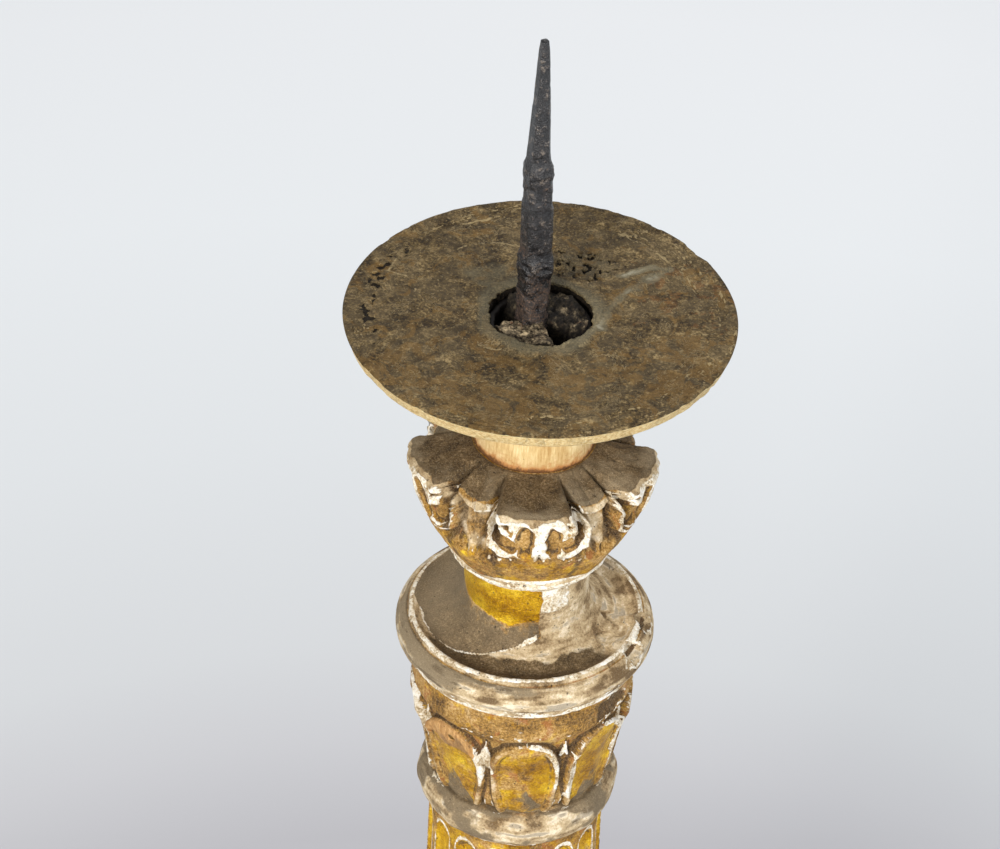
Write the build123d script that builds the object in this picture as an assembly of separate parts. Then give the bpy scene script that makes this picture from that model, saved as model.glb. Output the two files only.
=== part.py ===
"""Altar candlestick: a turned and carved gilt-wood stem on a three-sided base, with an iron pricket.

Millimetres, +Z up. The origin is the middle of the stance on the table, on the stem's axis. One side of the
base faces -Y. The stem is a stack of turned sections, each with a round tenon below that is glued into the
section under it. The wooden drip pan is the only loose piece: it drops over the pricket onto the post and
lifts off again.
"""

from build123d import *
import math
import os

# Driving dimensions
PAN_TOP = 740.0  # height of the drip pan's upper face
PAN_RADIUS = 70.0
PAN_THICK = 6.5
PAN_HOLE_RADIUS = 19.0
PRICKET_RISE = 114.0  # how far the pricket stands above the pan
PRICKET_OFFSET = -3.2  # the pricket was driven a little to the left of the axis
CAPITAL_LEAVES = 5  # broad ones, with as many narrow ones between them
LEAVES = 8  # on the cup and the vase
FLUTES = 16
SIDES = 3  # sides of the base, and corners, scrolls and feet

# Heights of the joints between the sections, from the top down
POST_TOP = PAN_TOP - PAN_THICK
CAPITAL_TOP = PAN_TOP - 55.0
COLLAR_TOP = PAN_TOP - 105.5
CUP_TOP = PAN_TOP - 154.0
COLUMN_TOP = PAN_TOP - 226.5
COLUMN_FOOT_TOP = 315.0
VASE_TOP = 289.0
KNOP_TOP = 190.0
NECK_TOP = 172.0
BASE_TOP = 140.0
BLOCK_TOP = 126.0
PLINTH_TOP = 46.0
FEET_TOP = 30.0

# Joints
TENON_RADIUS = 14.0
TENON_LENGTH = 22.0
GLUE_GAP = 0.15  # all round a tenon
END_GAP = 1.0  # below a tenon's end
NAIL_GAP = 0.05

# The post's socket, which is far wider than the tang and is packed with wedges
SOCKET_RADIUS = 16.5
SOCKET_FLOOR = POST_TOP - 21.5
LIP_RADIUS = PAN_HOLE_RADIUS - 0.6
LIP_RISE = 3.0
TANG_END = CAPITAL_TOP - 35.0
TANG_GAP = 0.1
WEDGE_WIDTH = 6.4

# The forged bar
BAR_SIDE = 10.2
BAR_TWIST = 28.0  # degrees from its sides to the base's sides
BAR_EASE = 0.24  # radius of its corners, as a share of its side

# The base: distance of a corner from the axis, and how deep each side is hollowed
TOP_PLATE_CORNER, TOP_PLATE_HOLLOW = 84.0, 9.0
BLOCK_TOP_CORNER, BLOCK_FOOT_CORNER, BLOCK_HOLLOW = 66.0, 92.0, 9.0
PLINTH_CORNER, PLINTH_HOLLOW = 124.0, 14.0
CORNER_FLAT = 26.0  # width of the flat that cuts each corner off
SCROLL_WIDTH = 22.0
BOSS_HALF_WIDTH, BOSS_HALF_HEIGHT, BOSS_DEPTH = 19.0, 26.0, 14.0
BOSS_RIM = 4.5
FOOT_RADIUS = 17.0
FOOT_REACH = 100.0  # distance of a foot from the axis
FOOT_TENON_RADIUS, FOOT_TENON_LENGTH = 7.0, 10.0
NAIL_REACH = 58.0  # distance of a nail from the axis
NAIL_SHANK, NAIL_HEAD = 1.6, 4.2  # radii
NAIL_LENGTH = 42.0
HEAD_THICK = 1.8


def outline(start, *steps):
    """A closed flat outline in the plane of the axis. A step is (r, z), a straight line there, or
    (mid_r, mid_z, r, z), an arc there through the middle point."""
    edges = []
    here = start
    for step in steps:
        there = step[-2:]
        if len(step) == 2:
            edges.append(Line(here, there))
        else:
            edges.append(ThreePointArc(here, step[:2], there))
        here = there
    edges.append(Line(here, start))
    return make_face(Curve() + edges)


def turned(start, *steps):
    """A turned solid, from an outline in r and z."""
    return revolve(Plane.XZ * outline(start, *steps), Axis.Z)


def peg(radius, low, high):
    """A plain cylinder on the axis, between two heights."""
    return Pos(0, 0, low) * Cylinder(radius, high - low, align=(Align.CENTER, Align.CENTER, Align.MIN))


def with_tenon(section, joint_height, radius=TENON_RADIUS):
    """The section with a round tenon below its joint."""
    return section + peg(radius, joint_height - TENON_LENGTH, joint_height)


def with_mortise(section, joint_height, radius=TENON_RADIUS):
    """The section with the hole that takes the tenon of the section above."""
    return section - peg(radius + GLUE_GAP, joint_height - TENON_LENGTH - END_GAP, joint_height)


def around(solid, count, phase=0.0):
    """Copies of a solid, evenly round the axis."""
    return [Rot(0, 0, phase + 360 / count * i) * solid for i in range(count)]


def leaf(shell, foot, top, foot_width, top_width, crown):
    """One carved leaf facing -Y: the part of a turned shell that stands behind an arched outline."""
    shoulder = top - crown
    face = make_face(
        Curve()
        + [
            Line((-foot_width / 2, foot), (-top_width / 2, shoulder)),
            ThreePointArc((-top_width / 2, shoulder), (0, top), (top_width / 2, shoulder)),
            Line((top_width / 2, shoulder), (foot_width / 2, foot)),
            Line((foot_width / 2, foot), (-foot_width / 2, foot)),
        ]
    )
    return shell & extrude(Plane.XZ * face, PAN_RADIUS)


def bar(sections, grow=0.0):
    """A forged bar through square sections with eased corners, given as (height, side)."""
    faces = []
    for height, side in sections:
        wide = side + 2 * grow
        section = RectangleRounded(wide, wide, wide * BAR_EASE)
        faces.append(Pos(PRICKET_OFFSET, 0, height) * Rot(0, 0, BAR_TWIST) * section)
    return loft(faces, ruled=True)


# Sides of the iron bar at a few heights: inside the socket, and in the tang below the socket's floor
SOCKET_BAR = [(SOCKET_FLOOR, BAR_SIDE), (PAN_TOP, BAR_SIDE + 0.1)]
TANG = [(SOCKET_FLOOR, BAR_SIDE), (CAPITAL_TOP, 8.4), (TANG_END, 4.6)]


def pricket():
    """The wrought-iron spike, with two forging swells, and the tang driven into the post and capital."""
    blade = [
        (SOCKET_FLOOR, BAR_SIDE),
        (PAN_TOP + 16, BAR_SIDE + 0.1),
        (PAN_TOP + 24, 11.4),
        (PAN_TOP + 30, 10.0),
        (PAN_TOP + 57, 9.3),
        (PAN_TOP + 62, 9.6),
        (PAN_TOP + 69, 8.0),
        (PAN_TOP + 90, 6.3),
        (PAN_TOP + 103, 4.7),
        (PAN_TOP + 110, 3.2),
        (PAN_TOP + PRICKET_RISE, 1.3),
    ]
    return bar(blade) + bar(TANG)


def pricket_wedges():
    """Hardwood wedges, hammered in round the tang. Each has its own direction and length."""
    wedges = []
    for turn, length in ((20, 15.0), (120, 12.0), (215, 17.0), (300, 13.5)):
        end = SOCKET_FLOOR + length
        side = outline((6.6, SOCKET_FLOOR), (7.4, end), (11.6, end - 2), (10.4, SOCKET_FLOOR))
        wedge = extrude(Plane.XZ * side, WEDGE_WIDTH / 2, both=True)
        wedge = Pos(PRICKET_OFFSET, 0, 0) * Rot(0, 0, turn) * wedge
        wedges.extend((wedge - bar(SOCKET_BAR, GLUE_GAP)).solids())
    return Compound(children=wedges)


def drip_pan():
    """The round board that catches the wax. Its edge leans in a little."""
    return turned(
        (PAN_HOLE_RADIUS, PAN_TOP - PAN_THICK),
        (PAN_RADIUS - 2.6, PAN_TOP - PAN_THICK),
        (PAN_RADIUS - 1.6, PAN_TOP - PAN_THICK + 1.0),
        (PAN_RADIUS, PAN_TOP - 0.8),
        (PAN_RADIUS - 0.6, PAN_TOP),
        (PAN_HOLE_RADIUS, PAN_TOP),
    )


def pan_post():
    """The bare wooden post under the pan, with a socket for the pricket and a lip that centres the pan."""
    solid = turned(
        (0, CAPITAL_TOP),
        (22.3, CAPITAL_TOP),
        (21.6, CAPITAL_TOP + 18),
        (22.6, CAPITAL_TOP + 34, 26.5, POST_TOP - 2.5),
        (26.5, POST_TOP),
        (LIP_RADIUS, POST_TOP),
        (LIP_RADIUS, POST_TOP + LIP_RISE),
        (0, POST_TOP + LIP_RISE),
    )
    solid = with_tenon(solid, CAPITAL_TOP)
    return solid - peg(SOCKET_RADIUS, SOCKET_FLOOR, POST_TOP + LIP_RISE) - bar(TANG, TANG_GAP)


def capital():
    """The carved capital: a flaring bell with acanthus leaves, broad and narrow by turns, on an astragal."""
    foot = COLLAR_TOP + 8.0
    rim = CAPITAL_TOP - 2.0
    bell = turned(
        (0, COLLAR_TOP),
        (28.4, COLLAR_TOP),
        (28.8, COLLAR_TOP + 2.2),
        (31.0, COLLAR_TOP + 4.8, 28.9, foot),
        (32.6, foot + 18, 40.5, rim - 2.0),
        (39.5, rim),
        (23.0, CAPITAL_TOP),
        (0, CAPITAL_TOP),
    )
    shell = turned(
        (25.0, foot),
        (30.4, foot),
        (35.4, foot + 20, 46.8, rim - 3.5),
        (46.0, rim - 0.6),
        (30.0, rim - 0.2),
    )
    leaves = around(leaf(shell, foot, rim, 22.0, 32.0, 4.0), CAPITAL_LEAVES)
    leaves += around(leaf(shell, foot, rim, 12.0, 22.0, 3.0), CAPITAL_LEAVES, 180 / CAPITAL_LEAVES)
    solid = with_tenon(bell + leaves, COLLAR_TOP)
    tip = peg(TENON_RADIUS + GLUE_GAP, CAPITAL_TOP - TENON_LENGTH - END_GAP, CAPITAL_TOP)
    return solid - tip - bar(TANG, TANG_GAP)


def collar():
    """The gilt neck that sweeps out into a wide moulded rim like a dish."""
    solid = turned(
        (0, CUP_TOP),
        (43.4, CUP_TOP),
        (44.2, CUP_TOP + 3.8),
        (45.2, CUP_TOP + 4.4),
        (48.5, CUP_TOP + 10.2, 45.2, CUP_TOP + 16.0),
        (43.9, CUP_TOP + 16.4),
        (42.7, CUP_TOP + 18.5),
        (41.5, CUP_TOP + 18.1),
        (37.4, CUP_TOP + 15.6, 33.2, CUP_TOP + 16.2),
        (26.4, CUP_TOP + 21.6, 23.9, CUP_TOP + 33.0),
        (24.0, COLLAR_TOP),
        (0, COLLAR_TOP),
    )
    return with_mortise(with_tenon(solid, CUP_TOP), COLLAR_TOP)


def leaf_cup():
    """The carved cup under the collar: a plain band, eight water leaves and a ring."""
    ring_top = COLUMN_TOP + 15.5
    core = turned(
        (0, COLUMN_TOP),
        (35.8, COLUMN_TOP),
        (38.2, COLUMN_TOP + 5.6, 34.6, ring_top),
        (32.0, ring_top),
        (33.6, ring_top + 26, 38.8, ring_top + 44),
        (41.6, CUP_TOP - 8, 42.0, CUP_TOP),
        (0, CUP_TOP),
    )
    shell = turned(
        (28.0, ring_top - 1),
        (34.0, ring_top - 1),
        (36.2, ring_top + 22, 41.8, ring_top + 41.5),
        (36.0, ring_top + 42.0),
    )
    leaves = around(leaf(shell, ring_top - 1, ring_top + 41.0, 22.0, 27.0, 9.0), LEAVES, 4.0)
    return with_mortise(with_tenon(core + leaves, COLUMN_TOP), CUP_TOP)


def column():
    """The fluted column, a little wider at its foot. The flutes stop short of both ends."""
    top_radius, foot_radius = 33.5, 36.5
    solid = turned(
        (0, COLUMN_FOOT_TOP),
        (foot_radius, COLUMN_FOOT_TOP),
        (top_radius, COLUMN_TOP),
        (0, COLUMN_TOP),
    )
    low, high = COLUMN_FOOT_TOP + 14.0, COLUMN_TOP - 9.0
    flute_radius = 5.2
    depth = 2.4

    def place(height):
        share = (height - COLUMN_FOOT_TOP) / (COLUMN_TOP - COLUMN_FOOT_TOP)
        surface = foot_radius + (top_radius - foot_radius) * share
        return Vector(0, -(surface + flute_radius - depth), height)

    foot, top = place(low), place(high)
    run = top - foot
    groove = Plane(origin=foot, z_dir=run) * Cylinder(
        flute_radius, run.length, align=(Align.CENTER, Align.CENTER, Align.MIN)
    )
    groove = groove + Pos(*foot) * Sphere(flute_radius) + Pos(*top) * Sphere(flute_radius)
    solid = solid - around(groove, FLUTES, 180 / FLUTES)
    return with_mortise(with_tenon(solid, COLUMN_FOOT_TOP), COLUMN_TOP)


def column_foot():
    """The ring moulding under the column."""
    solid = turned(
        (0, VASE_TOP),
        (34.0, VASE_TOP),
        (36.0, VASE_TOP + 3),
        (33.2, VASE_TOP + 8, 37.4, VASE_TOP + 12),
        (42.4, VASE_TOP + 17.5, 38.4, COLUMN_FOOT_TOP - 3),
        (38.4, COLUMN_FOOT_TOP),
        (0, COLUMN_FOOT_TOP),
    )
    return with_mortise(with_tenon(solid, VASE_TOP), COLUMN_FOOT_TOP)


def lower_vase():
    """The carved vase at the foot of the stem, wrapped in eight pointed leaves."""
    core = turned(
        (0, KNOP_TOP),
        (22.0, KNOP_TOP),
        (25.5, KNOP_TOP + 22, 37.0, KNOP_TOP + 40),
        (47.0, KNOP_TOP + 62, 38.5, KNOP_TOP + 86),
        (33.0, VASE_TOP - 4),
        (34.5, VASE_TOP),
        (0, VASE_TOP),
    )
    shell = turned(
        (16.0, KNOP_TOP + 3),
        (24.4, KNOP_TOP + 3),
        (28.2, KNOP_TOP + 22, 39.8, KNOP_TOP + 39),
        (49.6, KNOP_TOP + 56, 50.4, KNOP_TOP + 68),
        (30.0, KNOP_TOP + 70),
    )
    leaves = around(leaf(shell, KNOP_TOP + 3, KNOP_TOP + 69, 15.0, 32.0, 24.0), LEAVES, 180 / LEAVES)
    return with_mortise(with_tenon(core + leaves, KNOP_TOP), VASE_TOP)


def vase_knop():
    """The flattened ring between the vase and the base's neck."""
    solid = turned(
        (0, NECK_TOP),
        (25.0, NECK_TOP),
        (26.5, NECK_TOP + 2.5),
        (35.5, NECK_TOP + 9, 26.5, KNOP_TOP - 2.5),
        (25.0, KNOP_TOP),
        (0, KNOP_TOP),
    )
    # The knop is shorter than a tenon, so the vase's tenon passes right through it into the neck.
    return solid - peg(TENON_RADIUS + GLUE_GAP, NECK_TOP, KNOP_TOP)


def base_neck():
    """The turned foot of the stem, which sweeps out onto the base."""
    solid = turned(
        (0, BASE_TOP),
        (47.0, BASE_TOP),
        (47.5, BASE_TOP + 4),
        (44.5, BASE_TOP + 5.5),
        (28.0, BASE_TOP + 12, 23.5, NECK_TOP - 3),
        (24.5, NECK_TOP),
        (0, NECK_TOP),
    )
    through = peg(TENON_RADIUS + GLUE_GAP, KNOP_TOP - TENON_LENGTH - END_GAP, NECK_TOP)
    return with_tenon(solid, BASE_TOP) - through


def hollow_triangle(corner, hollow):
    """The plan of the base: hollowed sides between cut-off corners at 90, 210 and 330 degrees."""
    edges = []
    for i in range(SIDES):
        turn, after = math.radians(90 + 360 / SIDES * i), math.radians(90 + 360 / SIDES * (i + 1))

        def flat_end(angle, side):
            along = side * CORNER_FLAT / 2
            return (
                corner * math.cos(angle) - along * math.sin(angle),
                corner * math.sin(angle) + along * math.cos(angle),
            )

        start, end = flat_end(turn, 1), flat_end(after, -1)
        middle = ((start[0] + end[0]) / 2, (start[1] + end[1]) / 2)
        shrink = 1 - hollow / math.hypot(*middle)
        edges.append(Line(flat_end(turn, -1), start))
        edges.append(ThreePointArc(start, (middle[0] * shrink, middle[1] * shrink), end))
    return make_face(Curve() + edges)


def slab(layers):
    """A three-sided moulding: straight runs through plans given as (height, corner, hollow)."""
    plans = [Pos(0, 0, height) * hollow_triangle(corner, hollow) for height, corner, hollow in layers]
    return loft(plans, ruled=True)


def base_top_plate():
    """The moulded board on the base's block."""
    edge = TOP_PLATE_CORNER
    plate = slab(
        [
            (BLOCK_TOP, edge - 8, TOP_PLATE_HOLLOW),
            (BLOCK_TOP + 5, edge, TOP_PLATE_HOLLOW),
            (BLOCK_TOP + 9, edge, TOP_PLATE_HOLLOW),
            (BASE_TOP, edge - 5, TOP_PLATE_HOLLOW),
        ]
    )
    return plate - peg(TENON_RADIUS + GLUE_GAP, BLOCK_TOP, BASE_TOP)


def nail(grow=0.0):
    """A nail driven up through the plinth into the block, near the +Y corner, with its head sunk."""
    shank = peg(NAIL_SHANK + grow, FEET_TOP + HEAD_THICK, FEET_TOP + NAIL_LENGTH + grow)
    head = peg(NAIL_HEAD + grow, FEET_TOP, FEET_TOP + HEAD_THICK + grow)
    return Pos(0, NAIL_REACH, 0) * (shank + head)


def block_shape():
    """The outer shape of the base's block, which spreads towards the plinth."""
    return slab([(PLINTH_TOP, BLOCK_FOOT_CORNER, BLOCK_HOLLOW), (BLOCK_TOP, BLOCK_TOP_CORNER, BLOCK_HOLLOW)])


def base_block():
    """The block of the base, with the mortise for the stem and the nails' holes."""
    block = block_shape() - peg(TENON_RADIUS + GLUE_GAP, BASE_TOP - TENON_LENGTH - END_GAP, BLOCK_TOP)
    return block - around(nail(NAIL_GAP), SIDES)


def base_plinth():
    """The moulded board under the block, with holes for the feet's tenons and the nails."""
    edge = PLINTH_CORNER
    plinth = slab(
        [
            (FEET_TOP, edge - 2, PLINTH_HOLLOW),
            (FEET_TOP + 7, edge, PLINTH_HOLLOW),
            (FEET_TOP + 10, edge - 4, PLINTH_HOLLOW),
            (PLINTH_TOP, edge - 12, PLINTH_HOLLOW),
        ]
    )
    hole = peg(FOOT_TENON_RADIUS + GLUE_GAP, FEET_TOP, FEET_TOP + FOOT_TENON_LENGTH + END_GAP)
    return plinth - around(Pos(0, FOOT_REACH, 0) * hole, SIDES) - around(nail(NAIL_GAP), SIDES)


def corner_scroll():
    """A scroll bracket at the +Y corner: a double curl from the top plate down to the plinth."""
    inside = outline(
        (50.0, PLINTH_TOP),
        (PLINTH_CORNER - 14, PLINTH_TOP),
        (PLINTH_CORNER - 6, PLINTH_TOP + 14, PLINTH_CORNER - 20, PLINTH_TOP + 24),
        (PLINTH_CORNER - 34, PLINTH_TOP + 28, PLINTH_CORNER - 42, PLINTH_TOP + 46),
        (PLINTH_CORNER - 38, PLINTH_TOP + 60, PLINTH_CORNER - 48, BLOCK_TOP),
        (40.0, BLOCK_TOP),
    )
    curl = Rot(0, 0, 90) * extrude(Plane.XZ * inside, SCROLL_WIDTH / 2, both=True)
    return curl - block_shape()


def foot():
    """A turned ball foot under the +Y corner, flat where it stands, with a tenon for the plinth."""
    ball = turned(
        (0, 0),
        (9.0, 0),
        (FOOT_RADIUS, 12.5, 9.5, 25.5),
        (12.5, FEET_TOP - 2),
        (12.5, FEET_TOP),
        (FOOT_TENON_RADIUS, FEET_TOP),
        (FOOT_TENON_RADIUS, FEET_TOP + FOOT_TENON_LENGTH),
        (0, FEET_TOP + FOOT_TENON_LENGTH),
    )
    return Pos(0, FOOT_REACH, 0) * ball


def side_ornament():
    """A carved oval boss with a raised rim, glued on the -Y side of the block."""
    lean = math.degrees(math.atan2((BLOCK_FOOT_CORNER - BLOCK_TOP_CORNER) / 2, BLOCK_TOP - PLINTH_TOP))
    middle = (BLOCK_TOP + PLINTH_TOP) / 2
    disc = extrude(Ellipse(BOSS_HALF_WIDTH, BOSS_HALF_HEIGHT), BOSS_DEPTH)
    sunk = Ellipse(BOSS_HALF_WIDTH - BOSS_RIM, BOSS_HALF_HEIGHT - BOSS_RIM)
    disc = disc - Pos(0, 0, BOSS_DEPTH - 2) * extrude(sunk, 3)
    dome = Sphere(13) & Box(40, 40, 40, align=(Align.CENTER, Align.CENTER, Align.MIN))
    boss = disc + Pos(0, 0, 6) * dome
    placed = Plane(origin=(0, -35, middle), x_dir=(1, 0, 0), z_dir=(0, -1, 0)) * Rot(-lean, 0, 0) * boss
    return placed - block_shape()


def main():
    os.makedirs("parts", exist_ok=True)
    nodes = {
        "pricket": pricket(),
        "pricket_wedges": pricket_wedges(),
        "drip_pan": drip_pan(),
        "pan_post": pan_post(),
        "capital": capital(),
        "collar": collar(),
        "leaf_cup": leaf_cup(),
        "column": column(),
        "column_foot": column_foot(),
        "lower_vase": lower_vase(),
        "vase_knop": vase_knop(),
        "base_neck": base_neck(),
        "base_top_plate": base_top_plate(),
        "base_block": base_block(),
        "base_plinth": base_plinth(),
        "plinth_nails": Compound(children=around(nail(), SIDES)),
    }
    corners = ("back", "left", "right")
    for place, scroll, ball in zip(corners, around(corner_scroll(), SIDES), around(foot(), SIDES)):
        nodes[f"corner_scroll_{place}"] = scroll
        nodes[f"foot_{place}"] = ball
    for place, ornament in zip(("front", "right", "left"), around(side_ornament(), SIDES)):
        nodes[f"side_ornament_{place}"] = ornament
    for name, shape in nodes.items():
        export_step(shape, f"parts/{name}.step")


main()
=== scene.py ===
"""The altar candlestick's looks: carved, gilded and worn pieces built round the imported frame.

Lengths are millimetres until a mesh is made. Angles run round the axis in degrees, from the front (-Y)
towards the right (+X). A turned piece is a grid of points: its rows run down the outline, and its columns run
round the axis.
"""

import math
from itertools import product

import bpy
import numpy as np
from mathutils import Matrix, Vector


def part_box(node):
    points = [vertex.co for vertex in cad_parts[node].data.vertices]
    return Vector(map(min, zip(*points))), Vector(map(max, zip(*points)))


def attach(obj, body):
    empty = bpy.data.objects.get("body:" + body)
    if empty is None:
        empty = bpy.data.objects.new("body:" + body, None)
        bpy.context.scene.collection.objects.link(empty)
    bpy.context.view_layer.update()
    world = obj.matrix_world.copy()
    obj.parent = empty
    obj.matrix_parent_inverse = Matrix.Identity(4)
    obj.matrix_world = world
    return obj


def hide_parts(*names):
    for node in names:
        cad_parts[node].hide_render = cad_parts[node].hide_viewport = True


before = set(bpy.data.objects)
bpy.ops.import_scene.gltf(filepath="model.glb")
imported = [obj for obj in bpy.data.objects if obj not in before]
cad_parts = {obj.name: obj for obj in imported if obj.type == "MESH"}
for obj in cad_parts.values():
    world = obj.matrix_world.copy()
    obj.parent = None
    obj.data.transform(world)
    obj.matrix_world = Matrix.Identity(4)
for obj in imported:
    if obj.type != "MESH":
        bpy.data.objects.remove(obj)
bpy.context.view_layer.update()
MM = 0.001
SPACING = 0.6  # between the rows of a turned piece
COLUMNS = 560  # round a turned piece
PRIMES = (73856093, 19349663, 83492791)  # to scramble a cell's three numbers
SCATTER = (2654435761, 1274126177)  # to scatter a key's bits
FADE = 0.55  # each octave of noise against the one before
LIFT = 1.6  # spreads summed noise out to about -1 to 1
ROUND = 360.0  # degrees


def top_of(node):
    """The height of a CAD node's top."""
    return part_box(node)[1].z / MM


PAN_TOP = top_of("drip_pan")
PAN_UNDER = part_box("drip_pan")[0].z / MM
POST_FOOT = top_of("capital")
CAPITAL_FOOT = top_of("collar")
COLLAR_FOOT = top_of("leaf_cup")
CUP_FOOT = top_of("column")
COLUMN_FOOT = top_of("column_foot")
RING_FOOT = top_of("lower_vase")
VASE_FOOT = top_of("vase_knop")
KNOP_FOOT = top_of("base_neck")
NECK_FOOT = top_of("base_top_plate")
PLATE_FOOT = top_of("base_block")
BLOCK_FOOT = top_of("base_plinth")
PLINTH_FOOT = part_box("base_plinth")[0].z / MM
PAN_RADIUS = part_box("drip_pan")[1].x / MM
SOCKET_RADIUS = 16.5  # in the post
PRICKET_TIP = top_of("pricket")
PRICKET_X = (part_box("pricket")[0].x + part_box("pricket")[1].x) / 2 / MM


# Numbers and noise


def smooth(low, high, value):
    """0 below low, 1 above high, and an easy curve between. It falls instead where low is over high."""
    t = np.clip((value - low) / (high - low), 0, 1)
    return t * t * (3 - 2 * t)


def scramble(key, seed):
    """A repeatable number from 0 to 1 for each whole-number key."""
    key = (key ^ (seed + 11) * SCATTER[0]) & 0xFFFFFFFFFFFF
    key = (key ^ (key >> 13)) * SCATTER[1]
    return ((key ^ (key >> 16)) & 0xFFFF) / 65535.0


def noise(points, size, seed=0, octaves=3):
    """Smooth noise from about -1 to 1. Its largest lumps are size across."""
    result, total = 0.0, 0.0
    for octave in range(octaves):
        spot = points / size * 2**octave
        cell = np.floor(spot).astype(np.int64)
        part = spot - cell
        part = part * part * (3 - 2 * part)
        shares = [(1 - part[..., axis], part[..., axis]) for axis in range(3)]
        keys = [(cell[..., axis] * prime, (cell[..., axis] + 1) * prime) for axis, prime in enumerate(PRIMES)]
        value = 0.0
        for i, j, k in product((0, 1), repeat=3):
            share = shares[0][i] * shares[1][j] * shares[2][k]
            value = value + share * scramble(keys[0][i] ^ keys[1][j] ^ keys[2][k], seed * 7 + octave)
        weight = FADE**octave
        result = result + weight * (2 * value - 1)
        total += weight
    return result / total * LIFT


# Outlines and grids


def arc(here, middle, there, spacing):
    """Points along the circle from here to there through middle, without here."""
    a, b = middle - here, there - here
    turn = 2 * (a[0] * b[1] - a[1] * b[0])
    centre = here + np.array([b[1] * (a @ a) - a[1] * (b @ b), a[0] * (b @ b) - b[0] * (a @ a)]) / turn
    radius = np.linalg.norm(here - centre)
    start, mid, end = (math.atan2(*(p - centre)[::-1]) for p in (here, middle, there))
    sweep = (end - start) % (2 * math.pi)
    if (mid - start) % (2 * math.pi) > sweep:
        sweep -= 2 * math.pi
    count = max(2, round(abs(sweep) * radius / spacing))
    angle = start + sweep * np.arange(1, count + 1) / count
    return centre + radius * np.stack([np.cos(angle), np.sin(angle)], axis=-1)


def outline(start, *steps, spacing=SPACING):
    """Points along an outline. A step is (r, z), straight, or (mid_r, mid_z, r, z), an arc through mid."""
    here = np.array(start, float)
    runs = [here[None]]
    for step in steps:
        there = np.array(step[-2:], float)
        if len(step) == 2:
            count = max(1, round(np.linalg.norm(there - here) / spacing))
            runs.append(here + (there - here) * (np.arange(1, count + 1) / count)[:, None])
        else:
            runs.append(arc(here, np.array(step[:2], float), there, spacing))
        here = there
    return np.concatenate(runs)


def ease(points, times=2):
    """An outline with its corners worn a little round."""
    for _ in range(times):
        points = np.concatenate([points[:1], (points[:-2] + 2 * points[1:-1] + points[2:]) / 4, points[-1:]])
    return points


def turned(points, columns=COLUMNS):
    """The angle, radius and height of each point of a turned grid."""
    angle = np.arange(columns) * ROUND / columns
    angle, radius = np.meshgrid(angle, points[:, 0])
    return angle, radius, np.broadcast_to(points[:, 1:], angle.shape).copy()


def space(x, y, z):
    """Points in space, from arrays or numbers."""
    return np.stack(np.broadcast_arrays(x, y, z), axis=-1)


def place(angle, radius, height):
    """Points in space, from angles, radii and heights."""
    turn = np.radians(angle)
    return space(radius * np.sin(turn), -radius * np.cos(turn), height)


def spin(points, turn):
    """Points turned about the axis."""
    c, s = math.cos(math.radians(turn)), math.sin(math.radians(turn))
    return points @ np.array([[c, -s, 0], [s, c, 0], [0, 0, 1]]).T


def centred(angle, pitch=ROUND):
    """The signed angle from the nearest whole number of pitches."""
    return np.mod(angle + pitch / 2, pitch) - pitch / 2


def outward(points):
    """The unit normals of a grid whose rows run down and whose columns run round."""
    across = np.roll(points, -1, axis=1) - np.roll(points, 1, axis=1)
    normal = np.cross(np.gradient(points, axis=0), across)
    return normal / np.maximum(np.linalg.norm(normal, axis=-1, keepdims=True), 1e-9)


def bulge(points, reach):
    """How far each point stands out from those reach steps away. Edges are positive and hollows negative."""
    rows = np.arange(len(points))
    above = points[np.clip(rows - reach, 0, len(points) - 1)]
    below = points[np.clip(rows + reach, 0, len(points) - 1)]
    sides = np.roll(points, reach, axis=1) + np.roll(points, -reach, axis=1)
    return ((points - (above + below + sides) / 4) * outward(points)).sum(axis=-1)


def grid_object(name, points, marks=(), caps=True):
    """A mesh object from a grid of points, with one value per point for each mark."""
    rows, columns = points.shape[:2]
    here = np.arange(rows * columns).reshape(rows, columns)
    beside = np.roll(here, -1, axis=1)
    faces = np.stack([here[:-1], here[1:], beside[1:], beside[:-1]], axis=-1).reshape(-1, 4).tolist()
    if caps:
        faces += [here[0].tolist(), here[-1, ::-1].tolist()]
    mesh = bpy.data.meshes.new(name)
    mesh.from_pydata(points.reshape(-1, 3) * MM, [], faces)
    mesh.polygons.foreach_set("use_smooth", [True] * len(mesh.polygons))
    for mark, values in dict(marks).items():
        layer = mesh.attributes.new(mark, "FLOAT", "POINT")
        layer.data.foreach_set("value", np.broadcast_to(values, (rows, columns)).astype(np.float32).ravel())
    mesh.update()
    made = bpy.data.objects.new(name, mesh)
    bpy.context.scene.collection.objects.link(made)
    return made


def dress(made, node, material, body="stand"):
    """Gives a piece its material and its body, and hides the CAD node it stands for."""
    made.data.materials.append(material)
    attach(made, body)
    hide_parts(node)
    return made


# Materials


def shade(red, green, blue):
    """A colour as seen on a screen, 0 to 255, as the linear colour that a shader takes."""
    linear = [((c / 255 + 0.055) / 1.055) ** 2.4 if c > 10 else c / 255 / 12.92 for c in (red, green, blue)]
    return (*linear, 1.0)


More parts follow.
